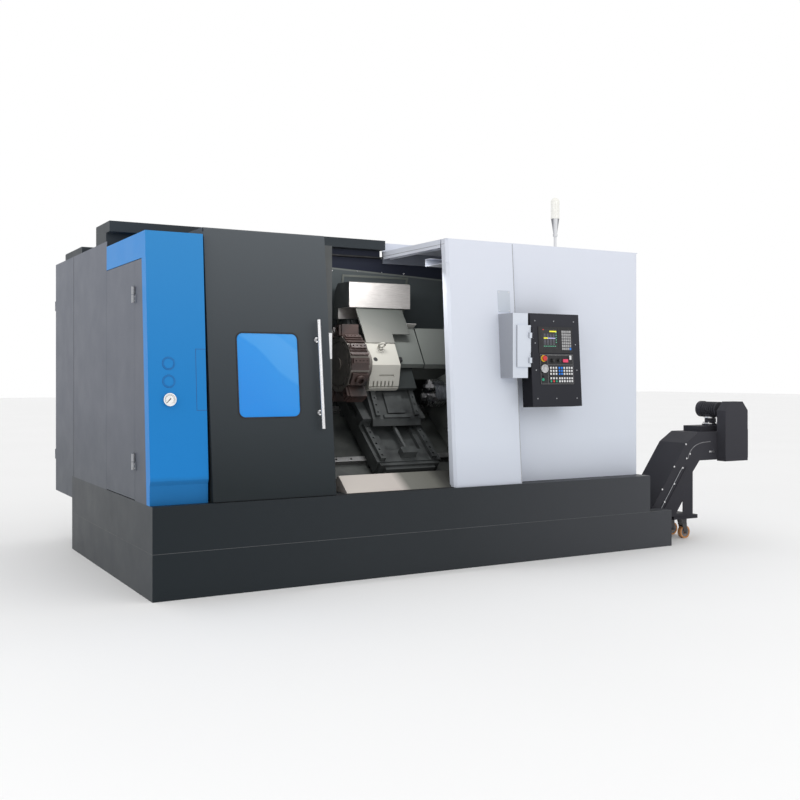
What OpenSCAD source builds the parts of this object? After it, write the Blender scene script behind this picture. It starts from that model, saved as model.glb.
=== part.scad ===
// Slant-bed turning centre with turret, sub-spindle and chip conveyor
// Millimetres, +Z up, origin on the floor under the middle of the coolant tank

/* [Base] */
// Length of the coolant tank, left end to right end
tank_l = 4200; // [4160:10:4320]
// Depth of the coolant tank and of the bed casing
tank_d = 2220; // [2180:10:2300]
// Height of the coolant tank
tank_h = 285; // [265:5:320]
// Length of tank that stands out at the right of the bed casing
tank_reach = 228; // [100:2:250]
// Height of the bed casing
casing_h = 285; // [265:5:320]
// Thickness of the cover sheets
sheet_t = 4; // [3:0.5:5]
// Gap between faces that slide on each other
run_gap = 0.4; // [0.3:0.05:0.6]
// Radial clearance of a shaft in its bore
shaft_gap = 0.05; // [0.02:0.01:0.1]

/* [Left column] */
// Width of the coloured column at the left of the door
column_w = 366; // [340:2:376]
// Height of the column above the bed casing
column_h = 1679; // [1640:1:1700]
// Backward lean of the column front, degrees
column_lean = 4.15; // [3:0.05:5]
// Distance of the column front from the casing front at its foot
column_y = 48; // [30:1:60]
// Height of the recessed kick panel
kick_h = 120; // [100:5:150]
// Width of the coloured strip beside the front corner
strip_w = 88; // [70:1:110]
// Height of the coloured band along the top of the left side
band_h = 163; // [140:1:190]
// Diameter of the pressure gauge
gauge_d = 80; // [60:1:100]
// Diameter of the port plugs
plug_d = 76; // [60:1:90]

/* [Side door] */
// Distance of the hinge line from the casing front
side_hinge_y = 387; // [380:1:400]
// Width of the side door
side_door_w = 720; // [690:1:726]
// Thickness of the folded side door
side_door_t = 25; // [20:1:40]

/* [Sliding door] */
// Left edge of the closed-back door at rest
door_x = 384; // [382:1:392]
// Width of the door
door_w = 844; // [800:1:860]
// Distance of the door front from the casing front at its foot
door_y = 12; // [5:1:20]
// Backward lean of the door, degrees
door_lean = 6.2; // [5:0.1:7]
// Height of the door above the bed casing
door_h = 1731; // [1720:1:1745]
// Gap between the bed casing and the foot of the door
door_foot = 5; // [5:0.5:8]
// Thickness of the door sheet
door_t = 5; // [4:0.5:6]
// Width of the door window
window_w = 423; // [380:1:450]
// Height of the door window
window_h = 545; // [500:1:580]
// Corner radius of the door window
window_r = 42; // [20:1:60]
// Length of the door handle
handle_l = 720; // [600:5:800]
// Thickness of the door handle bar
handle_d = 26; // [20:1:32]

/* [Right cover] */
// Left edge of the right cover
cover_x = 2160; // [2160:1:2175]
// Width of the leaning part of the right cover
cover_w = 580; // [560:1:590]
// Distance of the cover foot from the casing front
cover_y = 20; // [10:1:30]
// Distance of the upright panel from the casing front
panel_y = 140; // [130:1:150]
// Height of the right cover above the bed casing
cover_h = 1770; // [1760:1:1790]
// Depth of the flange at the left edge of the right cover
cover_return = 70; // [50:2:120]

/* [Rear] */
// Height of the rear covers above the bed casing
rear_h = 1717; // [1700:1:1730]
// Distance of the rear panel from the back of the tank
rear_inset = 59; // [50:1:70]
// Front of the roof unit
roof_y = 1034; // [1030:1:1050]
// Length of the roof unit
roof_l = 2155; // [2100:5:2158]
// Depth of the electrical cabinet behind the rear panel
cabinet_d = 689; // [640:1:740]
// Length of the electrical cabinet
cabinet_l = 2000; // [1900:10:2200]

/* [Control] */
// Width of the control box
control_w = 452; // [430:1:480]
// Height of the control box
control_h = 680; // [650:1:700]
// Depth of the control box
control_d = 120; // [100:1:140]
// Backward lean of the control box, degrees
control_lean = 3.8; // [2:0.1:5]
// Diameter of the emergency stop button
estop_d = 40; // [34:1:46]
// Diameter of the handwheel
handwheel_d = 60; // [50:1:64]

/* [Spindles] */
// Distance of the spindle axis from the casing front
spindle_y = 613; // [608:1:620]
// Height of the spindle axis above the bed casing
spindle_h = 657; // [650:1:664]
// Diameter of the main chuck
chuck_d = 254; // [230:1:270]
// Diameter of the main spindle shaft
spindle_d = 140; // [120:1:150]
// Through bore of the main spindle
spindle_bore = 66; // [50:1:76]
// Diameter of the sub-spindle chuck
sub_chuck_d = 206; // [190:1:220]
// Through bore of the sub-spindle
sub_bore = 46; // [36:1:52]

/* [Slides and turret] */
// Slope of the bed, degrees
bed_slope = 40; // [38:0.5:42]
// Slope of the turret slide against the bed, degrees
wedge_angle = 20; // [18:0.5:22]
// Width of the bed guide rails
rail_w = 45; // [40:1:55]
// Height of the bed guide rails
rail_h = 34; // [30:1:40]
// Width of the saddle
saddle_w = 529; // [500:1:535]
// Width of the wedge slide
wedge_w = 405; // [390:1:410]
// Radius of the turret disc over its corners
turret_r = 206; // [195:1:215]
// Thickness of the turret disc
turret_t = 150; // [130:1:155]
// Number of tool stations
stations = 12; // [8:2:12]
// Bore of the tool holders
tool_bore = 40; // [25:1:44]

/* [Chip conveyor] */
// Width of the conveyor casing
conv_w = 310; // [280:2:320]
// Distance of the conveyor casing from the tank front
conv_y = 160; // [160:1:170]
// Clear height of the conveyor foot above the floor
conv_z = 45; // [40:1:60]
// Depth of the conveyor casing
conv_t = 212; // [200:1:220]
// Height of the conveyor outlet above the floor
outlet_z = 650; // [630:5:680]
// Diameter of the caster wheels
caster_d = 105; // [90:1:115]

/* [Hidden] */

$fn = 48;
// Height of the bed casing top, on which the enclosure stands
deck = tank_h + casing_h;
casing_l = tank_l - tank_reach;
rear_y = tank_d - rear_inset;
// Angle range of the arcs in bent sheets is cut into this many chords
bend_n = 4;

// Spindle axis and the sloping reference frames of the slides
spindle_z = deck + spindle_h;
bed_y = spindle_y - 283;
bed_z = spindle_z - 460;
bed_n = -170;
rail_top = bed_n + rail_h;
saddle_bottom = rail_top + run_gap;
saddle_s1 = 950;
wedge_s = 340;
wedge_n = 71;
saddle_x = 1716;
wedge_x = 1785;
saddle_rail_x = [saddle_x + 45, saddle_x + saddle_w - 60];
wedge_rail_x = [wedge_x + 42, wedge_x + wedge_w - 36];
turret_a = 400;
turret_n = 110;
turret_x = 1555;
station_a = 360 / stations;
flat_r = turret_r * cos(station_a / 2);

// Left column front line and door front line
function column_front(z) = column_y + (z - deck - kick_h - 28) * tan(column_lean);
column_top = deck + column_h;
door_z = deck + door_foot;
door_top = deck + door_h;
door_front_top = door_y + (door_top - door_z) * tan(door_lean);
door_roof_y = 1100;
cover_lean = atan((panel_y - cover_y) / cover_h);
cover_top = deck + cover_h;
rear_top = deck + rear_h;

// Bent sheets: a path thickened to its right-hand side with mitred corners
function unit(v) = v / norm(v);
function side(a, b) = let (d = unit(b - a)) [d[1], -d[0]];
function mitre(n1, n2) = (n1 + n2) / (1 + n1 * n2);
function shifted(p, t) = [for (i = [0:len(p) - 1])
  let (a = i == 0 ? side(p[0], p[1]) : side(p[i - 1], p[i]),
       b = i == len(p) - 1 ? a : side(p[i], p[i + 1]))
  p[i] + t * mitre(a, b)];
function reversed(p) = [for (i = [len(p) - 1:-1:0]) p[i]];
function thick(p, t) = concat(p, reversed(shifted(p, t)));
function arc(cx, cy, r, a0, a1) = [for (i = [0:bend_n])
  let (a = a0 + (a1 - a0) * i / bend_n) [cx + r * cos(a), cy + r * sin(a)]];

module machine() {
  translate([-tank_l / 2, -tank_d / 2, 0]) children();
}
// A profile in depth and height, drawn out from x0 to x1
module along_x(x0, x1) {
  translate([x0, 0, 0]) rotate([90, 0, 90]) linear_extrude(x1 - x0) children();
}
// A profile in length and height, drawn out from y0 to y1
module along_y(y0, y1) {
  translate([0, y1, 0]) rotate([90, 0, 0]) linear_extrude(y1 - y0) children();
}
module box(x0, x1, y0, y1, z0, z1) {
  translate([x0, y0, z0]) cube([x1 - x0, y1 - y0, z1 - z0]);
}
module rod_x(x0, x1, d) {
  translate([x0, 0, 0]) rotate([0, 90, 0]) cylinder(d = d, h = x1 - x0);
}
module rod_y(y0, y1, d) {
  translate([0, y1, 0]) rotate([90, 0, 0]) cylinder(d = d, h = y1 - y0);
}
// Rectangle with true round corners
module rrect(w, h, r) {
  translate([r, 0]) square([w - 2 * r, h]);
  translate([0, r]) square([w, h - 2 * r]);
  for (x = [r, w - r], y = [r, h - r]) translate([x, y]) circle(r);
}
// A plan profile drawn up along a line that leans back, cut level at both ends
module leaning(lean, y0, z0, z1, y1) {
  intersection() {
    translate([0, y0, z0]) rotate([-lean, 0, 0]) translate([0, 0, -100])
      linear_extrude((z1 - z0) / cos(lean) + 200) children();
    box(-500, tank_l + 500, y0 - 300, y1, z0, z1);
  }
}
// Faces that lean back: x stays, second axis runs up the face, third points out of it
module on_face(lean, y0, z0) {
  translate([0, y0, z0]) rotate([90 - lean, 0, 0]) children();
}
module on_door() {
  on_face(door_lean, door_y, door_z) children();
}
module on_column() {
  on_face(column_lean, column_y, deck + kick_h + 28) children();
}
// Bed frame: x, distance up the slope, distance above the saddle rails
module on_bed() {
  translate([0, bed_y, bed_z]) rotate([bed_slope, 0, 0]) children();
}
module on_wedge() {
  on_bed() translate([0, wedge_s, wedge_n]) rotate([wedge_angle, 0, 0]) children();
}
module on_spindle() {
  translate([0, spindle_y, spindle_z]) children();
}

// Base

channel_gap = 20;
module coolant_tank() {
  color("#303438") machine() difference() {
    box(0, tank_l, 0, tank_d, 0, tank_h);
    box(conv_x0 - channel_gap, tank_l + 1, conv_y - channel_gap, conv_y + conv_w + channel_gap,
      conv_z, tank_h + 1);
  }
}

chute_x0 = 1250;
chute_x1 = 2950;
module bed_casing() {
  color("#3a3d40") machine() difference() {
    box(0, casing_l, 0, tank_d, tank_h, deck);
    box(chute_x0, chute_x1, 305, 395, tank_h - 1, deck + 1);
  }
}

chamber_x = 1010;
bed_x0 = chamber_x + sheet_t;
bed_x1 = casing_l - 92;
bed_shelf_y = 1167;
bed_shelf_z = spindle_z + 103;
module slant_bed() {
  foot = [bed_y - bed_n * sin(bed_slope), bed_z + bed_n * cos(bed_slope)];
  head = [bed_shelf_y, foot[1] + (bed_shelf_y - foot[0]) * tan(bed_slope)];
  color("#4c5250") machine() difference() {
    along_x(bed_x0, bed_x1)
      polygon([[400, deck], [400, foot[1]], foot, head, [bed_shelf_y, bed_shelf_z],
        [1450, bed_shelf_z], [1450, deck]]);
    // Cored pockets in the rear wall, as cast
    for (x = [bed_x0 + 150:450:bed_x1 - 400])
      box(x, x + 300, 1250, 1451, deck + 120, bed_shelf_z - 160);
  }
}

bed_rail_s = [150, 700];
seat_gap = 0.03;
module bed_rail(x0, x1, s, n0, h) {
  translate([x0, s, n0]) rotate([90, 0, 90]) linear_extrude(x1 - x0) {
    translate([-rail_w / 2, 0]) square([rail_w, h * 0.4]);
    translate([-rail_w * 0.36, 0]) square([rail_w * 0.72, h]);
    translate([-rail_w / 2, h * 0.68]) square([rail_w, h * 0.32]);
  }
}
module bed_rails() {
  color("#b9bcc0") machine() on_bed() difference() {
    for (s = bed_rail_s) bed_rail(bed_x0 + 286, bed_x1 - 180, s, bed_n + seat_gap, rail_h - seat_gap);
    for (s = bed_rail_s, x = [bed_x0 + 346:120:bed_x1 - 220])
      translate([x, s, rail_top - 12]) cylinder(d = 20, h = 13, $fn = 16);
  }
}

tray_x0 = 1334;
tray_x1 = cover_x + cover_w - 2 * sheet_t;
module chip_tray() {
  color("#c9c6bf") machine() difference() {
    union() {
      along_x(tray_x0, tray_x1)
        polygon(thick([[302, deck], [302, deck + 30], [203, deck + 108], [195, deck + 108], [62, deck]], -3));
      along_x(tray_x0, tray_x0 + 3)
        polygon([[66, deck], [196, deck + 104], [202, deck + 104], [298, deck + 28], [298, deck]]);
    }
    // Drain slots along the ridge
    for (x = [tray_x0 + 120:180:tray_x1 - 130]) box(x, x + 90, 225, 260, deck + 40, deck + 110);
    // Foot cut level with the casing, slot for the side of the right cover
    box(tray_x0 - 1, tray_x1 + 1, 0, 400, deck - 20, deck);
    box(cover_x - run_gap, cover_x + sheet_t + run_gap, 0, cover_y + cover_return + 12, deck - 1, deck + 120);
  }
}

back_y = 1125;
back_foot_y = back_y + 205;
module chamber_back() {
  top = cover_top + 5;
  back_lean = -atan((back_foot_y - back_y) / (top - 175 - bed_shelf_z));
  color("#7f8f86") machine() {
    difference() {
      along_x(chamber_x, bed_x1)
        polygon(thick([[back_y, top], [back_y, top - 105], [back_foot_y, bed_shelf_z + 70],
          [back_foot_y, bed_shelf_z]], -sheet_t));
      along_x(roof_l, bed_x1 + 1) translate([0, rear_top - sheet_t]) square([3000, 200]);
    }
    // Raised frame of the left field
    on_face(back_lean, back_foot_y, bed_shelf_z + 70) {
      for (x = [chamber_x + 40, chamber_x + 620]) box(x, x + 40, 60, 800, 0, 12);
      for (v = [60, 760]) box(chamber_x + 40, chamber_x + 660, v, v + 40, 0, 12);
    }
  }
}

head_y = 290;
module chamber_left_wall() {
  color("#8a9488") machine() difference() {
    along_x(chamber_x, chamber_x + sheet_t)
      polygon([[head_y + sheet_t, deck], [head_y + sheet_t, column_top - sheet_t], [back_y - 6, column_top - sheet_t],
        [back_foot_y - 6, bed_shelf_z + 70], [back_foot_y - 6, deck]]);
    on_spindle() rod_x(chamber_x - 1, chamber_x + sheet_t + 1, chuck_d + 20);
  }
}

module headstock_panel() {
  color("#55585c") machine() {
    box(column_w, chamber_x + 320, head_y, head_y + sheet_t, deck, column_top);
    box(column_w, chamber_x + 320, head_y, back_y - 6, column_top - sheet_t, column_top);
  }
}

// Left column and left side

gauge_x = 128;
gauge_v = 494;
plug_v = [607, 717];
band_z = column_top - band_h;
column_depth = side_hinge_y + side_door_w + 7;
module left_cover() {
  fold_z = deck + kick_h;
  foot_y = column_y + 12;
  color("#2f8ad6") machine() difference() {
    union() {
      along_x(0, column_w)
        polygon(thick([[foot_y, deck], [foot_y, fold_z], [column_y, fold_z + 28],
          [column_front(column_top), column_top], [column_depth, column_top]], sheet_t));
      // Strip and band on the left side
      along_x(0, sheet_t)
        polygon([[foot_y, deck], [foot_y, fold_z], [column_y, fold_z + 28],
          [column_front(column_top), column_top], [column_depth, column_top], [column_depth, band_z],
          [column_front(band_z) + strip_w, band_z], [column_front(deck) + strip_w, deck]]);
      // Flank that faces the door
      along_x(column_w - sheet_t, column_w)
        polygon([[foot_y, deck], [foot_y, fold_z], [column_y, fold_z + 28],
          [column_front(column_top), column_top], [head_y, column_top], [head_y, deck]]);
    }
    // Outline of the service hatch
    on_column() translate([column_w - 66, 425, -1.5]) linear_extrude(5) difference() {
      square([70, 384]);
      translate([3, 3]) square([70, 378]);
    }
    // Bores for the gauge stem and the plugs
    on_column() translate([gauge_x, gauge_v, -20]) cylinder(d = 14, h = 40);
    on_column() for (v = plug_v) translate([gauge_x, v, -20]) cylinder(d = plug_d - 16, h = 40);
  }
  port_plugs();
}

module port_plugs() {
  color("#3a90d8") machine() on_column() for (v = plug_v) translate([gauge_x, v, 0]) difference() {
    union() {
      cylinder(d = plug_d, h = 3);
      translate([0, 0, -14]) cylinder(d = plug_d - 16.4, h = 15);
    }
    translate([0, 0, 1.5]) difference() {
      cylinder(d = plug_d - 12, h = 3);
      translate([0, 0, -1]) cylinder(d = plug_d - 18, h = 5);
    }
  }
}

needle_d = 4;
module gauge_case() {
  color("#c8ccd0") machine() on_column() translate([gauge_x, gauge_v, 0]) difference() {
    union() {
      cylinder(d = gauge_d, h = 20);
      translate([0, 0, -26]) cylinder(d = 13.6, h = 27);
    }
    translate([0, 0, 12]) cylinder(d = gauge_d - 12, h = 10);
    translate([0, 0, 4]) cylinder(d = needle_d + 2 * shaft_gap, h = 10);
  }
}

needle_rest = 135;
module gauge_needle() {
  color("#202020") machine() on_column() translate([gauge_x, gauge_v, 0]) {
    translate([0, 0, 4.4]) cylinder(d = needle_d, h = 11.6);
    translate([0, 0, 13]) rotate([0, 0, needle_rest]) linear_extrude(2)
      polygon([[-3, -10], [3, -10], [0.8, gauge_d / 2 - 12], [-0.8, gauge_d / 2 - 12]]);
  }
}

side_z1 = band_z - 4;
module side_panels() {
  color("#6a6e74") machine() along_x(0, sheet_t) {
    polygon([[column_front(deck) + strip_w, deck], [side_hinge_y, deck], [side_hinge_y, side_z1],
      [column_front(side_z1) + strip_w, side_z1]]);
    translate([column_depth, deck]) square([rear_y - column_depth, rear_h]);
  }
  side_hinges();
}

hinge_d = 20;
pin_d = 8;
side_hinge_x = -12;
side_hinge_z = [deck + 194, deck + 1246];
knuckle_h = 52;
module side_knuckle(z0, pin) {
  translate([side_hinge_x, side_hinge_y, z0]) difference() {
    cylinder(d = hinge_d, h = knuckle_h);
    if (!pin) translate([0, 0, -1]) cylinder(d = pin_d + 2 * shaft_gap, h = knuckle_h + 2);
  }
}
module side_door() {
  y0 = side_hinge_y + 3;
  y1 = y0 + side_door_w;
  color("#70737a") machine() {
    difference() {
      box(0, side_door_t, y0, y1, deck + 5, side_z1);
      box(sheet_t, side_door_t + 1, y0 + 3, y1 - 3, deck + 8, side_z1 - 3);
    }
    // Stiffening bars across the inside
    for (z = [deck + 400:500:side_z1 - 200]) box(sheet_t, side_door_t, y0 + 3, y1 - 3, z, z + 30);
    for (z = side_hinge_z) {
      side_knuckle(z + knuckle_h + run_gap, false);
      box(-6, 0, y0 - 1, y0 + 42, z + knuckle_h + run_gap, z + 2 * knuckle_h + run_gap);
    }
  }
}
module side_hinges() {
  color("#d0d3d6") machine() for (z = side_hinge_z) {
    side_knuckle(z, true);
    translate([side_hinge_x, side_hinge_y, z]) cylinder(d = pin_d, h = 2 * knuckle_h + 4);
    box(-6, 0, side_hinge_y - 42, side_hinge_y, z, z + knuckle_h);
  }
}

// Roof and rear

roof_back_y = back_y + 298;
module roof_unit() {
  lip_z = cover_top + 9;
  face_y = back_y + sheet_t;
  color("#2c2f33") machine() {
    along_x(0, roof_l)
      polygon([[roof_y, lip_z], [roof_y, lip_z + 73], [roof_back_y, lip_z + 73], [roof_back_y, rear_top],
        [face_y, rear_top], [face_y, lip_z]]);
    box(sheet_t, roof_l, face_y, face_y + 20, column_top - 6, rear_top + 1);
  }
  cabinet_top_box();
}

end_x = casing_l - 4;
module rear_covers() {
  color("#64686e") machine() {
    box(sheet_t, roof_l, roof_back_y, rear_y, rear_top - sheet_t, rear_top);
    box(roof_l, end_x, step_y + sheet_t, rear_y, rear_top - sheet_t, rear_top);
    box(sheet_t, end_x, rear_y - sheet_t, rear_y, deck, rear_top - sheet_t);
    // Beam under the right roof
    box(cover_x, end_x - 2 * sheet_t, step_y - 17, step_y, cover_top - sheet_t - 89, cover_top - sheet_t);
    // Louvred vent of the rear panel
    for (z = [deck + 500:40:deck + 900])
      translate([cabinet_l + 400, rear_y, z]) rotate([30, 0, 0]) cube([600, 3, 30]);
  }
}

cab_y1 = rear_y + cabinet_d;
cab_z0 = 402;
cab_z = [cab_z0 + 260, cab_z0 + 1500];
cab_door_t = 25;
cab_pivot = [10, cab_y1 + 31];
module cabinet() {
  color("#74787e") machine() {
    difference() {
      along_x(0, cabinet_l)
        polygon([[rear_y, deck], [tank_d, deck], [tank_d, cab_z0], [cab_y1, cab_z0],
          [cab_y1, rear_top], [rear_y, rear_top]]);
      box(40, cabinet_l - 40, tank_d + 6, cab_y1 + 1, cab_z0 + 40, rear_top - 40);
    }
    // Mounting plate with a row of drive units
    box(80, cabinet_l - 80, tank_d + 6, tank_d + 14, cab_z0 + 100, rear_top - 100);
    for (i = [0:5]) box(160 + i * 270, 370 + i * 270, tank_d + 14, tank_d + 250, cab_z0 + 900, cab_z0 + 1350);
    for (i = [0:2]) box(200 + i * 560, 600 + i * 560, tank_d + 14, tank_d + 140, cab_z0 + 250, cab_z0 + 600);
    // Hinge pins at both ends
    for (m = [0, 1]) translate([m * cabinet_l, 0, 0]) mirror([m, 0, 0]) for (z = cab_z) {
      box(0, 18, cab_y1, cab_pivot[1], z, z + 40);
      translate([cab_pivot[0], cab_pivot[1], z]) cylinder(d = hinge_d, h = 40);
      translate([cab_pivot[0], cab_pivot[1], z]) cylinder(d = pin_d, h = 84);
    }
  }
}
module cabinet_leaf() {
  x0 = 20;
  x1 = cabinet_l / 2 - 3;
  y0 = cab_y1 + run_gap;
  difference() {
    box(x0, x1, y0, y0 + cab_door_t, cab_z0 + 10, rear_top - 10);
    box(x0 + 3, x1 - 3, y0 - 1, y0 + cab_door_t - 3, cab_z0 + 13, rear_top - 13);
  }
  for (z = cab_z) translate([0, 0, z + 40 + run_gap]) difference() {
    union() {
      translate([cab_pivot[0], cab_pivot[1], 0]) cylinder(d = hinge_d, h = 40);
      box(cab_pivot[0], x0 + 14, y0 + cab_door_t - 3, cab_pivot[1] + 6, 0, 40);
    }
    translate([cab_pivot[0], cab_pivot[1], -1]) cylinder(d = pin_d + 2 * shaft_gap, h = 42);
  }
  // Pull handle near the free edge
  for (z = [deck + 740, deck + 880]) box(x1 - 70, x1 - 50, y0 + cab_door_t - 1, y0 + cab_door_t + 40, z, z + 20);
  box(x1 - 70, x1 - 50, y0 + cab_door_t + 30, y0 + cab_door_t + 46, deck + 740, deck + 900);
}
module cabinet_door_left() {
  color("#74787e") machine() cabinet_leaf();
}
module cabinet_door_right() {
  color("#74787e") machine() translate([cabinet_l, 0, 0]) mirror([1, 0, 0]) cabinet_leaf();
}
module cabinet_top_box() {
  top_y0 = rear_y - 288;
  top_y1 = rear_y + 306;
  color("#3a3d42") machine() along_x(0, cabinet_l)
    polygon([[top_y0, rear_top], [top_y0, rear_top + 40], [top_y0 + 8, rear_top + 48], [top_y1 - 8, rear_top + 48],
      [top_y1, rear_top + 40], [top_y1, rear_top]]);
}

// Right cover

head_z = cover_top - 173;
module right_cover() {
  color("#d5dbe6") machine() {
    leaning(cover_lean, cover_y, deck, cover_top - sheet_t, 420)
      polygon(thick([[cover_x, cover_return], [cover_x, 19], [cover_x + 19, 0], [cover_x + cover_w, 0]], -sheet_t));
    // Channel behind the head of the front
    along_x(cover_x + sheet_t / 2, cover_x + cover_w - 20)
      polygon(thick([[cover_front(head_z) + 2, head_z], [431, head_z], [431, head_z + 47], [360, head_z + 47]], 3));
    // Wedge that closes the step to the upright panel
    along_x(cover_x + cover_w - sheet_t, cover_x + cover_w)
      polygon([[cover_y + 1, deck], [panel_y + sheet_t, deck], [panel_y + sheet_t, cover_top - sheet_t],
        [panel_y + 0.5, cover_top - sheet_t]]);
  }
}
corner_r = 24;
module right_panel() {
  x0 = cover_x + cover_w;
  color("#d5dbe6") machine() translate([0, 0, deck]) linear_extrude(cover_h - sheet_t)
    polygon(thick(concat([[x0, panel_y]], arc(end_x - corner_r, panel_y + corner_r, corner_r, -90, 0)), -sheet_t));
}
step_y = back_y - 28;
end_y = panel_y + corner_r + 0.9;
module right_end_panel() {
  color("#d5dbe6") machine() along_x(end_x - sheet_t, end_x)
    polygon([[end_y, deck], [rear_y - sheet_t, deck], [rear_y - sheet_t, rear_top - sheet_t],
      [step_y + sheet_t, rear_top - sheet_t], [step_y + sheet_t, cover_top - sheet_t], [end_y, cover_top - sheet_t]]);
}
module right_roof() {
  z = cover_top - sheet_t;
  color("#cfd5e0") machine() {
    along_x(cover_x, end_x) polygon(thick([[panel_y, cover_top], [step_y, cover_top], [step_y, cover_top + 72]], sheet_t));
    // Double flange at the left edge
    for (x = [cover_x, cover_x + 64]) box(x, x + sheet_t, panel_y + cover_return + 12, step_y - 17, z - 56, z);
  }
}

lamp_x = casing_l - 464;
lamp_y = 610;
lens_d = 71;
cone_h = 125;
lens_z = cover_top + 300;
module lamp_base() {
  color("#c9ccd0") machine() translate([lamp_x, lamp_y, cover_top]) {
    cylinder(d = 84, h = 10);
    cylinder(d = 24, h = lens_z - cover_top - cone_h + 1);
    translate([0, 0, lens_z - cover_top - cone_h]) cylinder(d1 = 30, d2 = lens_d - 5, h = cone_h);
    translate([0, 0, lens_z - cover_top - cone_h - 18]) cylinder(d = 36, h = 20);
  }
}
module lamp_lens() {
  color("#f2efe0") machine() translate([lamp_x, lamp_y, lens_z]) {
    cylinder(d = lens_d, h = 140);
    for (z = [6, 62, 118]) translate([0, 0, z]) cylinder(d = lens_d + 3, h = 6);
    translate([0, 0, 139]) rotate_extrude() intersection() {
      circle(d = lens_d);
      square(lens_d);
    }
  }
}

// Sliding door

lower_rail_y = [door_y + 12, door_y + 32];
upper_rail_y = back_y - 65;
module door_rails() {
  z = door_top - door_t - run_gap;
  color("#9a9da1") machine() {
    box(400, cover_x - 10, lower_rail_y[0], lower_rail_y[1], deck, door_z - run_gap);
    along_x(400, cover_x - 10)
      polygon([[upper_rail_y, z - 10], [back_y, z - 10], [back_y, z - 4], [back_y - 35, z - 4], [back_y - 35, z],
        [upper_rail_y, z]]);
  }
}

door_r = 22;
window_x = door_x + 190;
window_v = 519;
handle_x = door_x + door_w - 95;
handle_v = 433;
module window_hole(gap) {
  translate([window_x + gap, window_v + gap, 0]) rrect(window_w - 2 * gap, window_h - 2 * gap, window_r - gap);
}
module sliding_door() {
  tl = door_r * tan(45 - door_lean / 2);
  corner = [door_front_top, door_top];
  x1 = door_x + door_w;
  color("#4a4d51") machine() difference() {
    union() {
      along_x(door_x, x1)
        polygon(thick(concat([[door_y, door_z]],
          arc(corner[0] + tl, door_top - door_r, door_r, 180 - door_lean, 90), [[door_roof_y, door_top]]), door_t));
      // Flanges at both edges
      leaning(door_lean, door_y + 1, door_z, door_top - door_r - 6, 280)
        for (x = [door_x, x1 - door_t]) translate([x, 0]) square([door_t, x == door_x ? 280 : 46]);
      // Skirt over the fixed roof sheet and shoe over the lower rail
      box(door_x, door_x + door_t, door_front_top + 24, upper_rail_y - 6, column_top + 4, door_top - 1);
      box(door_x, x1, door_y + 2, lower_rail_y[1] + 2, door_z, door_z + 5);
      // Frame behind the window
      on_door() translate([0, 0, -door_t - 14]) linear_extrude(15) difference() {
        window_hole(-26);
        window_hole(-12);
      }
    }
    on_door() translate([0, 0, -door_t - 1]) linear_extrude(door_t + 5) window_hole(0);
  }
}
module door_window() {
  color("#2f8fe6") machine() on_door() {
    translate([0, 0, -door_t - 8]) linear_extrude(8) window_hole(-11);
    translate([0, 0, -door_t - 1]) linear_extrude(door_t) window_hole(0.3);
  }
}
module door_handle() {
  color("#d4d6d9") machine() on_door() translate([handle_x, handle_v, 0]) {
    translate([0, 0, 52]) rotate([-90, 0, 0]) cylinder(d = handle_d, h = handle_l);
    for (v = [110, handle_l - 128]) translate([0, v, 0]) {
      cylinder(d = 18, h = 52);
      cylinder(d = 34, h = 6);
    }
  }
}

// Control on its swivel bracket

control_x = 2753;
control_y = -95;
control_z = deck + 564;
swivel = [2745, -97];
swivel_d = 18;
swivel_pin = 10;
swivel_h = 38;
swivel_z = [deck + 880, deck + 1060];
function cover_front(z) = cover_y + (z - deck) * tan(cover_lean);
module on_control() {
  on_face(control_lean, control_y, control_z) children();
}
module at_panel(u, v) {
  on_control() translate([control_x + u * control_w, v * control_h, 0]) children();
}
module control_bracket() {
  z0 = deck + 772;
  z1 = deck + 1239;
  color("#cdd3de") machine() {
    along_x(2586, 2719)
      polygon([[-78, z0], [cover_front(z0), z0], [cover_front(z1), z1], [-78, z1]]);
    box(2617, 2737, -90, -78, deck + 851, deck + 1152);
    for (z = swivel_z) {
      box(2715, swivel[0], swivel[1] - 7, -90, z, z + swivel_h);
      translate([swivel[0], swivel[1], z]) cylinder(d = swivel_d, h = swivel_h);
      translate([swivel[0], swivel[1], z]) cylinder(d = swivel_pin, h = 2 * swivel_h);
    }
  }
}

panel_t = 4;
panel_edge = 8;
estop_at = [0.24, 0.515];
wheel_at = [0.245, 0.405];
feed_at = [0.42, 0.495];
speed_at = [0.55, 0.495];
stem_d = 22;
knob_stem = 10;
wheel_stem = 12;
module control_bores() {
  at_panel(estop_at[0], estop_at[1]) translate([0, 0, -40]) cylinder(d = stem_d + 2 * shaft_gap, h = 60);
  at_panel(wheel_at[0], wheel_at[1]) translate([0, 0, -40]) cylinder(d = wheel_stem + 2 * shaft_gap, h = 60);
  for (p = [feed_at, speed_at])
    at_panel(p[0], p[1]) translate([0, 0, -40]) cylinder(d = knob_stem + 2 * shaft_gap, h = 60);
}
module control_box() {
  x1 = control_x + control_w;
  color("#36363b") machine() {
    difference() {
      on_control() translate([control_x, 0, -control_d]) difference() {
        cube([control_w, control_h, control_d]);
        translate([panel_edge, panel_edge, control_d - panel_t])
          cube([control_w - 2 * panel_edge, control_h - 2 * panel_edge, panel_t + 1]);
      }
      control_bores();
    }
    for (z = swivel_z) translate([0, 0, z + swivel_h + run_gap]) difference() {
      union() {
        translate([swivel[0], swivel[1], 0]) cylinder(d = swivel_d, h = swivel_h);
        box(swivel[0], control_x + 4, swivel[1] - 7, -40, 0, swivel_h);
      }
      translate([swivel[0], swivel[1], -1]) cylinder(d = swivel_pin + 2 * shaft_gap, h = swivel_h + 2);
    }
  }
}

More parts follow.
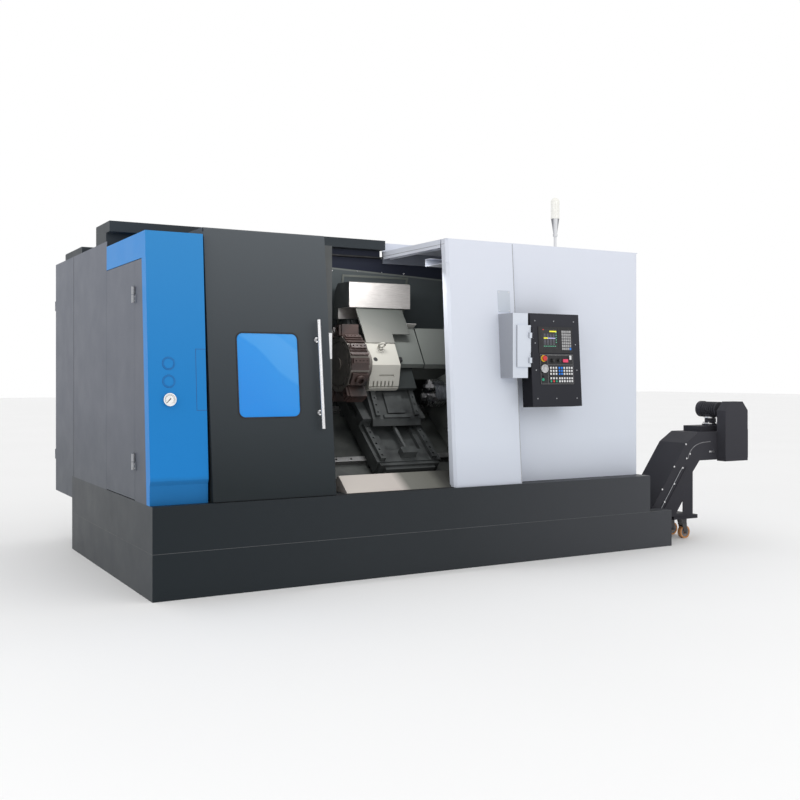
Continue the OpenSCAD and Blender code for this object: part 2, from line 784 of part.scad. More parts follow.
key_w = 17;
key_u = [0.375, 0.43, 0.485, 0.55, 0.6, 0.65, 0.705, 0.755, 0.805];
key_v = [0.415, 0.383, 0.35, 0.302, 0.27];
module panel_pad(u0, v0, u1, v1, h) {
  at_panel(u0, v0) cube([(u1 - u0) * control_w, (v1 - v0) * control_h, h]);
}
module operator_panel() {
  e = panel_edge + 0.3;
  color("#3c3c42") machine() difference() {
    union() {
      on_control() translate([control_x + e, e, -panel_t])
        cube([control_w - 2 * e, control_h - 2 * e, panel_t]);
      // Display unit with screen frame and keypad
      difference() {
        panel_pad(0.155, 0.575, 0.85, 0.86, 4);
        at_panel(0.235, 0.635) translate([0, 0, 2]) cube([0.315 * control_w, 0.205 * control_h, 4]);
      }
      for (i = [0:4], j = [0:6])
        at_panel(0.625 + i * 0.039, 0.61 + j * 0.031) translate([0, 0, 3]) cube([13, 16, 4]);
      // Machine panel with its rows of keys
      panel_pad(0.17, 0.235, 0.85, 0.565, 3);
      for (u = key_u, v = key_v)
        at_panel(u, v) translate([-key_w / 2, -key_w / 2, 2]) cube([key_w, key_w, 5]);
      // Collars of the stop button and the handwheel, key switch and lever switch
      at_panel(estop_at[0], estop_at[1]) cylinder(d = estop_d + 8, h = 6);
      at_panel(wheel_at[0], wheel_at[1]) cylinder(d = handwheel_d - 10, h = 5);
      at_panel(0.68, 0.49) translate([-22, -10, 2]) cube([44, 22, 9]);
      at_panel(0.78, 0.525) cylinder(d = 20, h = 8);
      at_panel(0.22, 0.325) cylinder(d = 10, h = 16);
      at_panel(0.215, 0.288) cylinder(d = 20, h = 7);
      // Screws along the border
      for (p = [[0.1, 0.92], [0.48, 0.92], [0.89, 0.92], [0.09, 0.68], [0.91, 0.67], [0.09, 0.39], [0.92, 0.39],
          [0.1, 0.085], [0.48, 0.085], [0.9, 0.085]])
        at_panel(p[0], p[1]) cylinder(d = 9, h = 2.5, $fn = 16);
    }
    control_bores();
  }
}

module estop_button() {
  color("#c4201e") machine() at_panel(estop_at[0], estop_at[1]) {
    translate([0, 0, -20]) cylinder(d = stem_d, h = 35);
    translate([0, 0, 14]) rotate_extrude()
      polygon(concat([[0, 0], [estop_d / 2 - 3, 0]], arc(estop_d / 2 - 8, 8, 8, -40, 80), [[0, 17]]));
  }
}
module knob() {
  translate([0, 0, -20]) cylinder(d = knob_stem, h = 24);
  translate([0, 0, 3 + run_gap]) cylinder(d = 30, h = 6);
  translate([0, 0, 9]) cylinder(d1 = 26, d2 = 22, h = 12);
  translate([-2.5, 4, 18]) cube([5, 10, 5]);
}
module feed_knob() {
  color("#18181a") machine() at_panel(feed_at[0], feed_at[1]) knob();
}
module speed_knob() {
  color("#18181a") machine() at_panel(speed_at[0], speed_at[1]) knob();
}
module handwheel() {
  color("#e8e8ea") machine() at_panel(wheel_at[0], wheel_at[1]) {
    translate([0, 0, -20]) cylinder(d = wheel_stem, h = 30);
    translate([0, 0, 5 + run_gap]) difference() {
      cylinder(d = handwheel_d, h = 12);
      translate([0, 0, 7]) difference() {
        cylinder(d = handwheel_d - 10, h = 8);
        translate([0, 0, -1]) cylinder(d = 24, h = 8);
      }
    }
    translate([0, handwheel_d / 2 - 9, 12]) cylinder(d = 10, h = 26);
  }
}

// Main spindle with three-jaw chuck

headstock_x0 = 420;
chuck_x = 1060;
chuck_l = 110;
jaw_l = 60;
jaw_w = 40;
slot_depth = 22;
jaw_angles = [90, 210, 330];
module headstock() {
  color("#59615e") machine() difference() {
    along_x(headstock_x0, chamber_x)
      polygon([[400, deck], [400, spindle_z - 180], [480, spindle_z + 170], [760, spindle_z + 170],
        [1100, spindle_z - 350], [1100, deck]]);
    on_spindle() rod_x(headstock_x0 - 1, chamber_x + 1, spindle_d + 2 * shaft_gap);
    // Cooling ribs on the top
    for (x = [headstock_x0 + 60:40:chamber_x - 80]) box(x, x + 16, 500, 740, spindle_z + 150, spindle_z + 171);
  }
}
// Slots of a chuck whose face lies at x = 0 and looks to +X
module jaw_slots(d, bore) {
  for (a = jaw_angles) rotate([a - 90, 0, 0])
    box(-slot_depth, 1, -jaw_w / 2 - run_gap, jaw_w / 2 + run_gap, bore / 2 + 4, d);
}
// One jaw: guide in the slot and stepped top jaw
module jaw(d, bore, angle, l) {
  r0 = bore / 2 + 14;
  r1 = d / 2 - 10;
  rotate([angle - 90, 0, 0]) {
    box(-slot_depth + run_gap, 1, -jaw_w / 2, jaw_w / 2, r0, r1);
    box(0, l * 0.45, -jaw_w / 2 + 2, jaw_w / 2 - 2, r0 + 4, r1);
    box(0, l, -jaw_w / 2 + 2, jaw_w / 2 - 2, r0 + 4, (r0 + r1) / 2);
  }
}
module main_spindle() {
  color("#a9acb0") machine() on_spindle() difference() {
    union() {
      rod_x(headstock_x0 - 90, chamber_x + 20, spindle_d);
      rod_x(headstock_x0 - 80, headstock_x0 - 10, 300);
      rod_x(chamber_x + run_gap, chuck_x, 190);
      rod_x(chuck_x, chuck_x + chuck_l, chuck_d);
    }
    rod_x(headstock_x0 - 100, chuck_x + chuck_l + 1, spindle_bore);
    translate([chuck_x + chuck_l, 0, 0]) jaw_slots(chuck_d, spindle_bore);
    // Grooves of the belt pulley
    for (i = [0:4]) translate([headstock_x0 - 74 + i * 13, 0, 0]) rotate([0, 90, 0]) difference() {
      cylinder(d = 302, h = 6);
      translate([0, 0, -1]) cylinder(d = 284, h = 8);
    }
  }
}
module main_jaw(i) {
  color("#8d9094") machine() on_spindle() translate([chuck_x + chuck_l, 0, 0])
    jaw(chuck_d, spindle_bore, jaw_angles[i], jaw_l);
}
module main_jaw_1() { main_jaw(0); }
module main_jaw_2() { main_jaw(1); }
module main_jaw_3() { main_jaw(2); }

// Saddle, wedge slide and turret

srail_w = 40;
srail_h = 30;
wrail_w = 36;
wrail_h = 25;
wedge_base = run_gap + 30.6;
// Runner blocks that straddle the bed rails under a carriage from x0 to x1
module bed_blocks(x0, x1) {
  for (s = bed_rail_s, x = [x0, x1 - 130]) difference() {
    box(x, x + 130, s - 62, s + 62, bed_n + run_gap, saddle_bottom + 1);
    box(x - 1, x + 131, s - rail_w / 2 - run_gap, s + rail_w / 2 + run_gap, bed_n, saddle_bottom);
  }
}
module saddle() {
  x1 = saddle_x + saddle_w;
  xm = saddle_x + saddle_w / 2;
  color("#3b3f40") machine() on_bed() {
    difference() {
      box(saddle_x, x1, 0, saddle_s1, saddle_bottom, -srail_h);
      // Relief between the rails
      box(saddle_x + 120, x1 - 120, 120, saddle_s1 - 120, -srail_h - 30, 1);
    }
    bed_blocks(saddle_x, x1);
    for (x = saddle_rail_x) difference() {
      box(x - srail_w / 2, x + srail_w / 2, 10, saddle_s1 - 10, -srail_h - 1, 0);
      for (s = [40:60:saddle_s1 - 30]) translate([x, s, -9]) cylinder(d = 18, h = 10, $fn = 16);
    }
    // Ball screw of the wedge slide in its end bearings
    for (s = [30, saddle_s1 - 90]) box(xm - 60, xm + 60, s, s + 60, -srail_h - 1, 26);
    translate([xm, 40, 0]) rotate([-90, 0, 0]) cylinder(d = 32, h = saddle_s1 - 80);
    // Stepped apron at the foot
    box(saddle_x + 20, x1 - 20, -26, 1, saddle_bottom + 8, -srail_h - 8);
    box(saddle_x + 60, x1 - 60, -52, -25, saddle_bottom + 16, -srail_h - 26);
  }
}

wedge_len = 870;
wedge_c = [wedge_s + wedge_len * cos(wedge_angle), wedge_n + wedge_len * sin(wedge_angle)];
block_s = [380, 760];
module wedge_slide() {
  x1 = wedge_x + wedge_w;
  color("#44494a") machine() {
    on_bed() {
      difference() {
        union() {
          along_x(wedge_x, x1)
            polygon([[wedge_s - 32, wedge_base], [wedge_s, wedge_n], wedge_c, wedge_c + [61, -52], [979, wedge_base]]);
          box(saddle_x, saddle_x + saddle_w, wedge_s + 20, 900, wedge_base, wedge_base + 26);
        }
        // Cored pockets in both flanks
        for (x = [wedge_x - 1, x1 - 59]) along_x(x, x + 60)
          polygon([[wedge_s + 180, wedge_base + 50], [wedge_s + 240, wedge_n + 50], [wedge_s + 640, wedge_n + 190],
            [wedge_s + 560, wedge_base + 50]]);
      }
      for (x = saddle_rail_x, s = block_s) difference() {
        box(x - 45, x + 45, s, s + 80, -srail_h + run_gap, wedge_base + 1);
        box(x - srail_w / 2 - run_gap, x + srail_w / 2 + run_gap, s - 1, s + 81, -srail_h, run_gap);
      }
    }
    on_wedge() {
      for (x = wedge_rail_x) difference() {
        box(x - wrail_w / 2, x + wrail_w / 2, 20, 850, -1, wrail_h);
        for (a = [45:60:830]) translate([x, a, wrail_h - 8]) cylinder(d = 16, h = 10, $fn = 16);
      }
      // Screw cover between the rails
      box(wedge_x + 130, x1 - 130, 40, 210, -1, wrail_h - 4);
      // Stop bracket at the foot of the rails
      box(wedge_x + 90, x1 - 90, 4, 30, -1, 18);
    }
  }
}

way_x0 = 2290;
cover_x0 = wedge_x - 1;
cover_x1 = wedge_x + wedge_w - 8;
fold_t = 6;
fold_n = 172;
housing_x1 = 2026;
housing_a1 = 542;
slide_z = wrail_h + run_gap;
module turret_axis() {
  on_wedge() translate([0, turret_a, turret_n]) children();
}
shroud_x1 = way_x0 - 8;
module drive_cover() {
  c = [bed_y + wedge_c[0] * cos(bed_slope) - wedge_c[1] * sin(bed_slope),
       bed_z + wedge_c[0] * sin(bed_slope) + wedge_c[1] * cos(bed_slope)];
  color("#c4c2bb") machine() {
    translate([0, c[0], c[1]]) along_x(1720, 2245)
      polygon([[-180, 80], [-180, 262], [-172, 270], [20, 270], [76, 200], [76, 0.5], [8, 0.5], [8, 80]]);
    on_wedge() {
      box(cover_x0, cover_x1, 700, 872, fold_n, fold_n + fold_t);
      // Shroud over the right-hand rail, on brackets at the head of the wedge
      along_x(housing_x1 + 10, shroud_x1)
        polygon(thick([[730, 166], [730, 112], [404, 112], [388, 84]], -fold_t));
      box(wedge_rail_x[1] - 12, wedge_rail_x[1] + 12, 705, 725, wrail_h, 113);
    }
  }
}
module slide_cover_middle() {
  color("#b9b7b0") machine() on_wedge()
    box(cover_x0, cover_x1, 625, 770, fold_n + fold_t + run_gap, fold_n + 2 * fold_t + run_gap);
}
shaft_d = 120;
shaft_x1 = 1840;
module turret_housing() {
  x0 = 1775;
  eye_x = (x0 + housing_x1) / 2 - 10;
  top = fold_n + 2 * fold_t + 2 * run_gap;
  color("#c9c8c2") machine() {
    difference() {
      on_wedge() {
        box(wedge_x, wedge_x + wedge_w, 225, housing_a1, slide_z, 61);
        along_x(x0, housing_x1)
          polygon([[233, 60], [233, 82], [352, 185], [housing_a1, 185], [housing_a1, 60]]);
        // Lifting eye
        translate([eye_x, 500, 184]) cylinder(d = 40, h = 14);
        translate([eye_x, 500, 224]) rotate([90, 0, 0]) rotate_extrude() translate([24, 0]) circle(d = 14, $fn = 24);
        // Lowest leaf of the way cover
        box(x0 + 9, housing_x1, housing_a1 - 1, housing_a1 + fold_t, 60, top + fold_t);
        box(x0 + 9, housing_x1, housing_a1 - 1, 700, top, top + fold_t);
        for (x = wedge_rail_x, a = [235, 450]) difference() {
          box(x - 40, x + 40, a, a + 80, run_gap, slide_z + 1);
          box(x - wrail_w / 2 - run_gap, x + wrail_w / 2 + run_gap, a - 1, a + 81, -1, slide_z);
        }
      }
      turret_axis() rod_x(x0 - 1, shaft_x1 + run_gap, shaft_d + 2 * shaft_gap);
      // Ribs and cross slot in the sloping front
      on_wedge() for (x = [x0 + 30:32:housing_x1 - 40]) box(x, x + 12, 200, 262, 60.5, 200);
      on_wedge() translate([0, 293, 134]) rotate([40.9, 0, 0]) box(x0 + 80, housing_x1 - 50, -6, 6, -12, 20);
      on_wedge() translate([x0 + 52, 400, 181]) cylinder(d = 22, h = 10);
    }
  }
}
module turret_disc() {
  x1 = turret_x + turret_t;
  color("#9b8f86") machine() turret_axis() {
    difference() {
      translate([turret_x, 0, 0]) rotate([station_a / 2, 0, 0]) rotate([0, 90, 0])
        cylinder(r = turret_r, h = turret_t, $fn = stations);
      // Ring recess in the face
      rod_ring(turret_x - 1, turret_x + 8, 330, 316);
      // Coolant ports beside the stations
      for (i = [0:stations - 1]) rotate([i * station_a, 0, 0])
        translate([turret_x - 1, 0, flat_r - 22]) rotate([0, 90, 0]) cylinder(d = 16, h = 20, $fn = 16);
    }
    rod_x(turret_x - 10, turret_x + 1, 96);
    rod_x(x1 - 1, 1775 - run_gap, 230);
    rod_x(x1 - 1, shaft_x1, shaft_d);
  }
}
module rod_ring(x0, x1, d0, d1) {
  translate([x0, 0, 0]) rotate([0, 90, 0]) difference() {
    cylinder(d = d0, h = x1 - x0);
    translate([0, 0, -1]) cylinder(d = d1, h = x1 - x0 + 2);
  }
}
holder_h = 92;
bore_r = flat_r + holder_h / 2 + 6;
// Boring bar holder: block with an axial bore and clamp screws
module bar_holder() {
  difference() {
    union() {
      box(turret_x + 8, turret_x + turret_t - 8, -44, 44, flat_r, flat_r + holder_h);
      box(turret_x - 10, turret_x + turret_t - 30, -34, 34, flat_r + 10, flat_r + holder_h - 6);
    }
    translate([0, 0, bore_r]) rod_x(turret_x - 20, turret_x + turret_t + 5, tool_bore);
    for (x = [turret_x + 30, turret_x + 70, turret_x + 110])
      translate([x, 0, bore_r]) cylinder(d = 10, h = 60, $fn = 16);
  }
}
// Driven head: low gear case with an open collet ring that points outward
module driven_head() {
  difference() {
    union() {
      box(turret_x + 10, turret_x + turret_t - 10, -46, 46, flat_r, flat_r + 26);
      translate([turret_x + turret_t / 2, 0, flat_r]) cylinder(d = 72, h = 46);
    }
    translate([turret_x + turret_t / 2, 0, flat_r + 20]) cylinder(d = 44, h = 40);
  }
}
// Turning tool clamp: base, stepped wedge and a row of screws
module tool_clamp() {
  difference() {
    union() {
      box(turret_x + 4, turret_x + turret_t - 6, -44, 44, flat_r, flat_r + 14);
      box(turret_x + 12, turret_x + turret_t - 14, 6, 40, flat_r + 13, flat_r + 26);
    }
    box(turret_x - 1, turret_x + turret_t + 1, -30, -8, flat_r + 4, flat_r + 30);
    for (x = [turret_x + 30:30:turret_x + 120]) translate([x, 23, flat_r + 18]) cylinder(d = 12, h = 20, $fn = 16);
  }
}
// Kinds of holder round the disc: 0 clamp, 1 bar holder, 2 driven head
holder_kind = [0, 0, 2, 1, 0, 1, 0, 2, 0, 1, 1, 0];
module tool_holders() {
  color("#4a3a30") machine() turret_axis() for (i = [0:stations - 1]) rotate([i * station_a, 0, 0]) {
    k = holder_kind[i % len(holder_kind)];
    if (k == 1) bar_holder();
    else if (k == 2) driven_head();
    else tool_clamp();
  }
}

module way_cover() {
  z1 = deck + 1152;
  foot_z = bed_shelf_z + sheet_t;
  edge = [spindle_y + 37, spindle_z + 219];
  brow_y = edge[0] + (z1 - edge[1]) / tan(bed_slope + wedge_angle);
  lip = edge + [16, -28];
  color("#8b958c") machine() along_x(way_x0, bed_x1)
    polygon(thick([[back_y + 121, z1], [brow_y, z1], edge, lip, [850, lip[1]], [850, foot_z], [back_foot_y - 30, foot_z]],
      sheet_t));
}

// Sub-spindle

sub_x = 2300;
sub_chuck_l = 100;
sub_shaft = 110;
sub_head_x = 2440;
sub_x1 = 2920;
module sub_carriage() {
  color("#565c5a") machine() difference() {
    on_bed() {
      box(sub_head_x + 20, sub_x1, 60, 800, saddle_bottom, -30);
      bed_blocks(sub_head_x + 20, sub_x1);
      along_x(sub_head_x, sub_x1)
        polygon([[310, -31], [372, 150], [440, 300], [590, 300], [690, 150], [720, -31]]);
    }
    on_spindle() rod_x(sub_head_x - 1, sub_x1 + 1, sub_shaft + 2 * shaft_gap);
  }
}
module sub_spindle() {
  color("#b0b3b6") machine() on_spindle() difference() {
    union() {
      rod_x(sub_x, sub_x + sub_chuck_l, sub_chuck_d);
      rod_x(sub_x + sub_chuck_l - 1, sub_head_x - run_gap, 150);
      rod_x(sub_x + sub_chuck_l, sub_x1 + 30, sub_shaft);
    }
    rod_x(sub_x - 1, sub_x1 + 31, sub_bore);
    translate([sub_x, 0, 0]) mirror([1, 0, 0]) jaw_slots(sub_chuck_d, sub_bore);
  }
}
sub_jaw_l = 38;
module sub_jaw(i) {
  color("#8d9094") machine() on_spindle() translate([sub_x, 0, 0]) mirror([1, 0, 0])
    jaw(sub_chuck_d, sub_bore, jaw_angles[i], sub_jaw_l);
}
module sub_jaw_1() { sub_jaw(0); }
module sub_jaw_2() { sub_jaw(1); }
module sub_jaw_3() { sub_jaw(2); }

// Chip conveyor

conv_x0 = 1100;
incline_x = tank_l + 20;
conv_end = incline_x + 900;
conv_top = outlet_z + 235;
conv_sheet = 6;
belt_t = 12;
function inset(p, t) = [for (i = [0:len(p) - 1])
  let (a = side(p[(i + len(p) - 1) % len(p)], p[i]), b = side(p[i], p[(i + 1) % len(p)])) p[i] - t * mitre(a, b)];
conv_outline = [[conv_x0, conv_z], [incline_x, conv_z], [incline_x + 380, conv_z + 519],
  [incline_x + 453, outlet_z], [conv_end, outlet_z], [conv_end, conv_top], [incline_x + 439, conv_top],
  [incline_x + 301, outlet_z + 150],
  [incline_x + 301 - (outlet_z + 150 - conv_z - conv_t) / 1.364, conv_z + conv_t], [conv_x0, conv_z + conv_t]];
foot_x = incline_x + 115;
foot_z = conv_z + 155;
caster_plate_t = 30;
caster_at = [[incline_x + 325, conv_y + 82], [incline_x + 380, conv_y + 280]];
stem_caster = 16;
module conveyor_casing() {
  color("#3a3a40") machine() {
    difference() {
      along_y(conv_y, conv_y + conv_w) polygon(conv_outline);
      along_y(conv_y + conv_sheet, conv_y + conv_w - conv_sheet) polygon(inset(conv_outline, conv_sheet));
      // Chip inlet under the bed and outlet at the raised end
      box(chute_x0 - 50, chute_x1 + 50, conv_y + conv_sheet, conv_y + conv_w - conv_sheet,
        conv_z + conv_t - 20, conv_z + conv_t + 1);
      box(conv_end - 150, conv_end - 20, conv_y + 30, conv_y + conv_w - 30, outlet_z - 1, outlet_z + conv_sheet + 1);
    }
    // Rib along the side plate
    along_y(conv_y - 6, conv_y + 1) polygon([[incline_x + 26, conv_z + 193], [incline_x + 34, conv_z + 188],
      [incline_x + 305, conv_z + 552], [incline_x + 297, conv_z + 557]]);
    // Bolt heads along the cover edge and along the side plate
    for (i = [0:2]) conveyor_bolt(incline_x + 30 + i * 132, conv_z + 386 + i * 180);
    for (p = [[55, 282], [163, 425], [258, 552], [301, 628], [340, 665]])
      conveyor_bolt(incline_x + p[0], conv_z + p[1]);
    // Stand with caster plate
    for (y = [conv_y, conv_y + conv_w - 8]) along_y(y, y + 8) difference() {
      polygon([[foot_x, foot_z], [incline_x + 375, foot_z], [incline_x + 375, conv_z + 511.5],
        [foot_x, conv_z + (foot_x - incline_x) * 519 / 380]]);
      if (y == conv_y)
        polygon([[foot_x + 70, foot_z + 22], [foot_x + 150, foot_z + 22], [foot_x + 150, foot_z + 130]]);
    }
    difference() {
      box(foot_x + 57, incline_x + 440, conv_y + 10, conv_y + conv_w + 30, foot_z - caster_plate_t, foot_z + 1);
      for (p = caster_at) translate([p[0], p[1], foot_z - caster_plate_t - 1])
        cylinder(d = stem_caster + 2 * shaft_gap, h = 24);
    }
  }
}
module conveyor_bolt(x, z) {
  translate([x, 0, z]) rod_y(conv_y - 5, conv_y + 1, 15, $fn = 16);
}
module conveyor_belt() {
  g = conv_sheet + run_gap;
  color("#5a5c5e") machine() {
    difference() {
      along_y(conv_y + g, conv_y + conv_w - g) polygon(inset(conv_outline, g));
      along_y(conv_y + g - 1, conv_y + conv_w - g + 1) polygon(inset(conv_outline, g + belt_t));
    }
    // Cleats on the upper run below the chute
    for (x = [chute_x0:250:chute_x1]) box(x, x + 10, conv_y + g, conv_y + conv_w - g,
      conv_z + conv_t - g - 1, conv_z + conv_t - 1);
  }
}
module conveyor_drive() {
  g0 = incline_x + 655;
  g1 = incline_x + 920;
  z0 = outlet_z - 10;
  z1 = outlet_z + 490;
  mx = incline_x + 778;
  my = conv_y + 190;
  color("#36363c") machine() {
    // Chain guard on the side of the outlet
    along_y(65, conv_y) polygon([[g0, z0], [g1, z0], [g1, z1 - 75], [g1 - 62, z1], [g0 + 62, z1], [g0, z1 - 75]]);
    box(g1 - 1, g1 + 14, 75, conv_y - 10, z0 + 22, z0 + 262);
    // Gear motor on the casing
    box(incline_x + 559, mx + 60, my - 100, my + 100, conv_top, conv_top + 45);
    translate([mx, my, conv_top + 44]) cylinder(d = 140, h = 14);
    translate([mx, my, conv_top + 44]) cylinder(d = 96, h = 100);
    translate([mx, 0, conv_top + 184]) difference() {
      union() {
        rod_y(my - 110, my + 70, 130);
        rod_y(my + 69, my + 110, 138);
        rod_y(conv_y - 1, my - 109, 36);
      }
      // Cooling fins of the motor
      for (i = [0:6]) translate([0, my - 90 + i * 22, 0]) difference() {
        rod_y(0, 10, 140);
        rod_y(-1, 11, 114);
      }
    }
  }
}
trail = 28;
axle_d = 12;
wheel_w = 36;
module caster_fork(i) {
  top = foot_z - caster_plate_t - run_gap;
  color("#2a2a2d") machine() translate([caster_at[i][0], caster_at[i][1], 0]) {
    translate([0, 0, top - 6]) cylinder(d = stem_caster, h = 24);
    box(-30, 40, -26, 26, top - 12, top);
    for (y = [-26, 20.4]) along_y(y, y + 5.6)
      polygon([[-26, top - 1], [36, top - 1], [trail + 16, caster_d / 2 - 14], [trail - 14, caster_d / 2 - 14]]);
    translate([trail, 0, caster_d / 2]) rod_y(-29, 29, axle_d);
  }
}
module caster_wheel(i) {
  color("#c87f3e") machine() translate([caster_at[i][0] + trail, caster_at[i][1], caster_d / 2]) difference() {
    union() {
      rod_y(-wheel_w / 2, wheel_w / 2, caster_d);
      rod_y(-wheel_w / 2 - 1.6, wheel_w / 2 + 1.6, 30);
    }
    rod_y(-30, 30, axle_d + 2 * shaft_gap);
    // Recessed rim on both sides
    for (y = [-wheel_w / 2 - 1, wheel_w / 2 - 6]) translate([0, y, 0]) difference() {
      rod_y(0, 7, caster_d - 24);
      rod_y(-1, 8, 40);
    }
  }
}
module caster_fork_front() { caster_fork(0); }
module caster_fork_rear() { caster_fork(1); }
module caster_wheel_front() { caster_wheel(0); }
module caster_wheel_rear() { caster_wheel(1); }

coolant_tank();
bed_casing();
slant_bed();
bed_rails();
chip_tray();
chamber_back();
chamber_left_wall();
headstock_panel();
left_cover();
gauge_case();
gauge_needle();
side_panels();
side_door();
roof_unit();
rear_covers();
cabinet();
cabinet_door_left();
cabinet_door_right();
right_cover();
right_panel();
right_end_panel();
right_roof();
door_rails();
sliding_door();
door_window();
door_handle();
lamp_base();
lamp_lens();
control_bracket();
control_box();
operator_panel();
estop_button();
feed_knob();
speed_knob();
handwheel();
headstock();
main_spindle();
main_jaw_1();
main_jaw_2();
main_jaw_3();
saddle();
wedge_slide();
drive_cover();
slide_cover_middle();
turret_housing();
turret_disc();
tool_holders();
way_cover();
sub_carriage();
sub_spindle();
sub_jaw_1();
sub_jaw_2();
sub_jaw_3();
conveyor_casing();
conveyor_belt();
conveyor_drive();
caster_fork_front();
caster_fork_rear();
caster_wheel_front();
caster_wheel_rear();
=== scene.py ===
import math

import bmesh
import bpy
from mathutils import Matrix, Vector


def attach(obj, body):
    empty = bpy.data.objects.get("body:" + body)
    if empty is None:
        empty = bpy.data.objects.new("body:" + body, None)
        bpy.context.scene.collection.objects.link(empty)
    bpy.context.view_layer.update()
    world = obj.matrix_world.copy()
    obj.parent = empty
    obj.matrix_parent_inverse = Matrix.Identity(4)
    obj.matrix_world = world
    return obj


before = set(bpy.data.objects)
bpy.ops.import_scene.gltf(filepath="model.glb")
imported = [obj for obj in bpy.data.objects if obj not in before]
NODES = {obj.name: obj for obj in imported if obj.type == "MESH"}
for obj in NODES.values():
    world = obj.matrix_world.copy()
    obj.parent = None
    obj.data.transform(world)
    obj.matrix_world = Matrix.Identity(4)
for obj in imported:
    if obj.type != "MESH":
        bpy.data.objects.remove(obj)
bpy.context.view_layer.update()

# Front left foot of the base in the frame of the model, in metres
OX = -2.1
OY = -1.11


def at(x, y, z):
    """Point given in millimetres from the front left foot of the base."""
    return Vector((x / 1000 + OX, y / 1000 + OY, z / 1000))


def face(lean, y0, z0):
    """Leaning face: function of x, distance up the face and distance out of it, in millimetres."""
    s, c = math.sin(math.radians(lean)), math.cos(math.radians(lean))
    return lambda x, v, w: at(x, y0 + v * s - w * c, z0 + v * c + w * s)


# Faces that carry pieces: lean in degrees, then depth and height of the foot in millimetres
DOOR = face(6.2, 12, 575)
COLUMN = face(4.15, 48, 718)
CONTROL = face(3.8, -95, 1134)
COVER = face(3.8786, 20, 570)
BACK = face(-13.7145, 1330, 1400)

# Left edge, width and height of the control
CONTROL_X = 2753
CONTROL_W = 452
CONTROL_H = 680
# Radius of the plugs in the column, length of the cabinet
PLUG_R = 76 / 2
CABINET_L = 2000
# Range that holds nearly all values of a noise texture
NOISE_LO = 0.3
NOISE_HI = 0.7

# Materials


class Nodes:
    """Short way to write a node tree for one material."""

    def __init__(self, name):
        self.mat = bpy.data.materials.new(name)
        self.mat.use_nodes = True
        self.tree = self.mat.node_tree
        self.tree.nodes.clear()
        self.out = self.add("ShaderNodeOutputMaterial")
        self.bsdf = self.add("ShaderNodeBsdfPrincipled")
        self.link(self.bsdf.outputs["BSDF"], self.out.inputs["Surface"])
        self.coord = self.add("ShaderNodeTexCoord").outputs["Object"]

    def add(self, kind, **values):
        node = self.tree.nodes.new(kind)
        for key, value in values.items():
            setattr(node, key, value)
        return node

    def link(self, a, b):
        self.tree.links.new(a, b)

    def scaled(self, scale):
        node = self.add("ShaderNodeMapping")
        node.inputs["Scale"].default_value = scale
        self.link(self.coord, node.inputs["Vector"])
        return node.outputs["Vector"]

    def noise(self, scale, detail=3.0, rough=0.5, stretch=None):
        node = self.add("ShaderNodeTexNoise")
        node.inputs["Scale"].default_value = scale
        node.inputs["Detail"].default_value = detail
        node.inputs["Roughness"].default_value = rough
        self.link(self.scaled(stretch) if stretch else self.coord, node.inputs["Vector"])
        return node.outputs["Fac"]

    def span(self, value, lo, hi, to_lo=0.0, to_hi=1.0):
        node = self.add("ShaderNodeMapRange")
        node.inputs["From Min"].default_value = lo
        node.inputs["From Max"].default_value = hi
        node.inputs["To Min"].default_value = to_lo
        node.inputs["To Max"].default_value = to_hi
        self.link(value, node.inputs["Value"])
        return node.outputs["Result"]

    def spread(self, noise, lo=0.0, hi=1.0):
        """Noise spread over a range of values."""
        return self.span(noise, NOISE_LO, NOISE_HI, lo, hi)

    def axis(self, weights):
        """Weighted sum of the object coordinates."""
        node = self.add("ShaderNodeVectorMath", operation="DOT_PRODUCT")
        self.link(self.coord, node.inputs[0])
        node.inputs[1].default_value = weights
        return node.outputs["Value"]

    def math(self, op, a, b):
        node = self.add("ShaderNodeMath", operation=op)
        for i, v in enumerate((a, b)):
            if isinstance(v, (int, float)):
                node.inputs[i].default_value = v
            else:
                self.link(v, node.inputs[i])
        return node.outputs[0]

    def ramp(self, value, stops):
        node = self.add("ShaderNodeValToRGB")
        items = node.color_ramp.elements
        while len(items) < len(stops):
            items.new(0.5)
        for item, (pos, color) in zip(items, stops):
            item.position = pos
            item.color = (*color, 1)
        self.link(value, node.inputs["Fac"])
        return node.outputs["Color"]

    def bump(self, height, strength, distance):
        node = self.add("ShaderNodeBump")
        node.inputs["Strength"].default_value = strength
        node.inputs["Distance"].default_value = distance
        self.link(height, node.inputs["Height"])
        self.link(node.outputs["Normal"], self.bsdf.inputs["Normal"])

    def set(self, **values):
        for key, value in values.items():
            self.bsdf.inputs[key.replace("_", " ")].default_value = value
        return self.mat


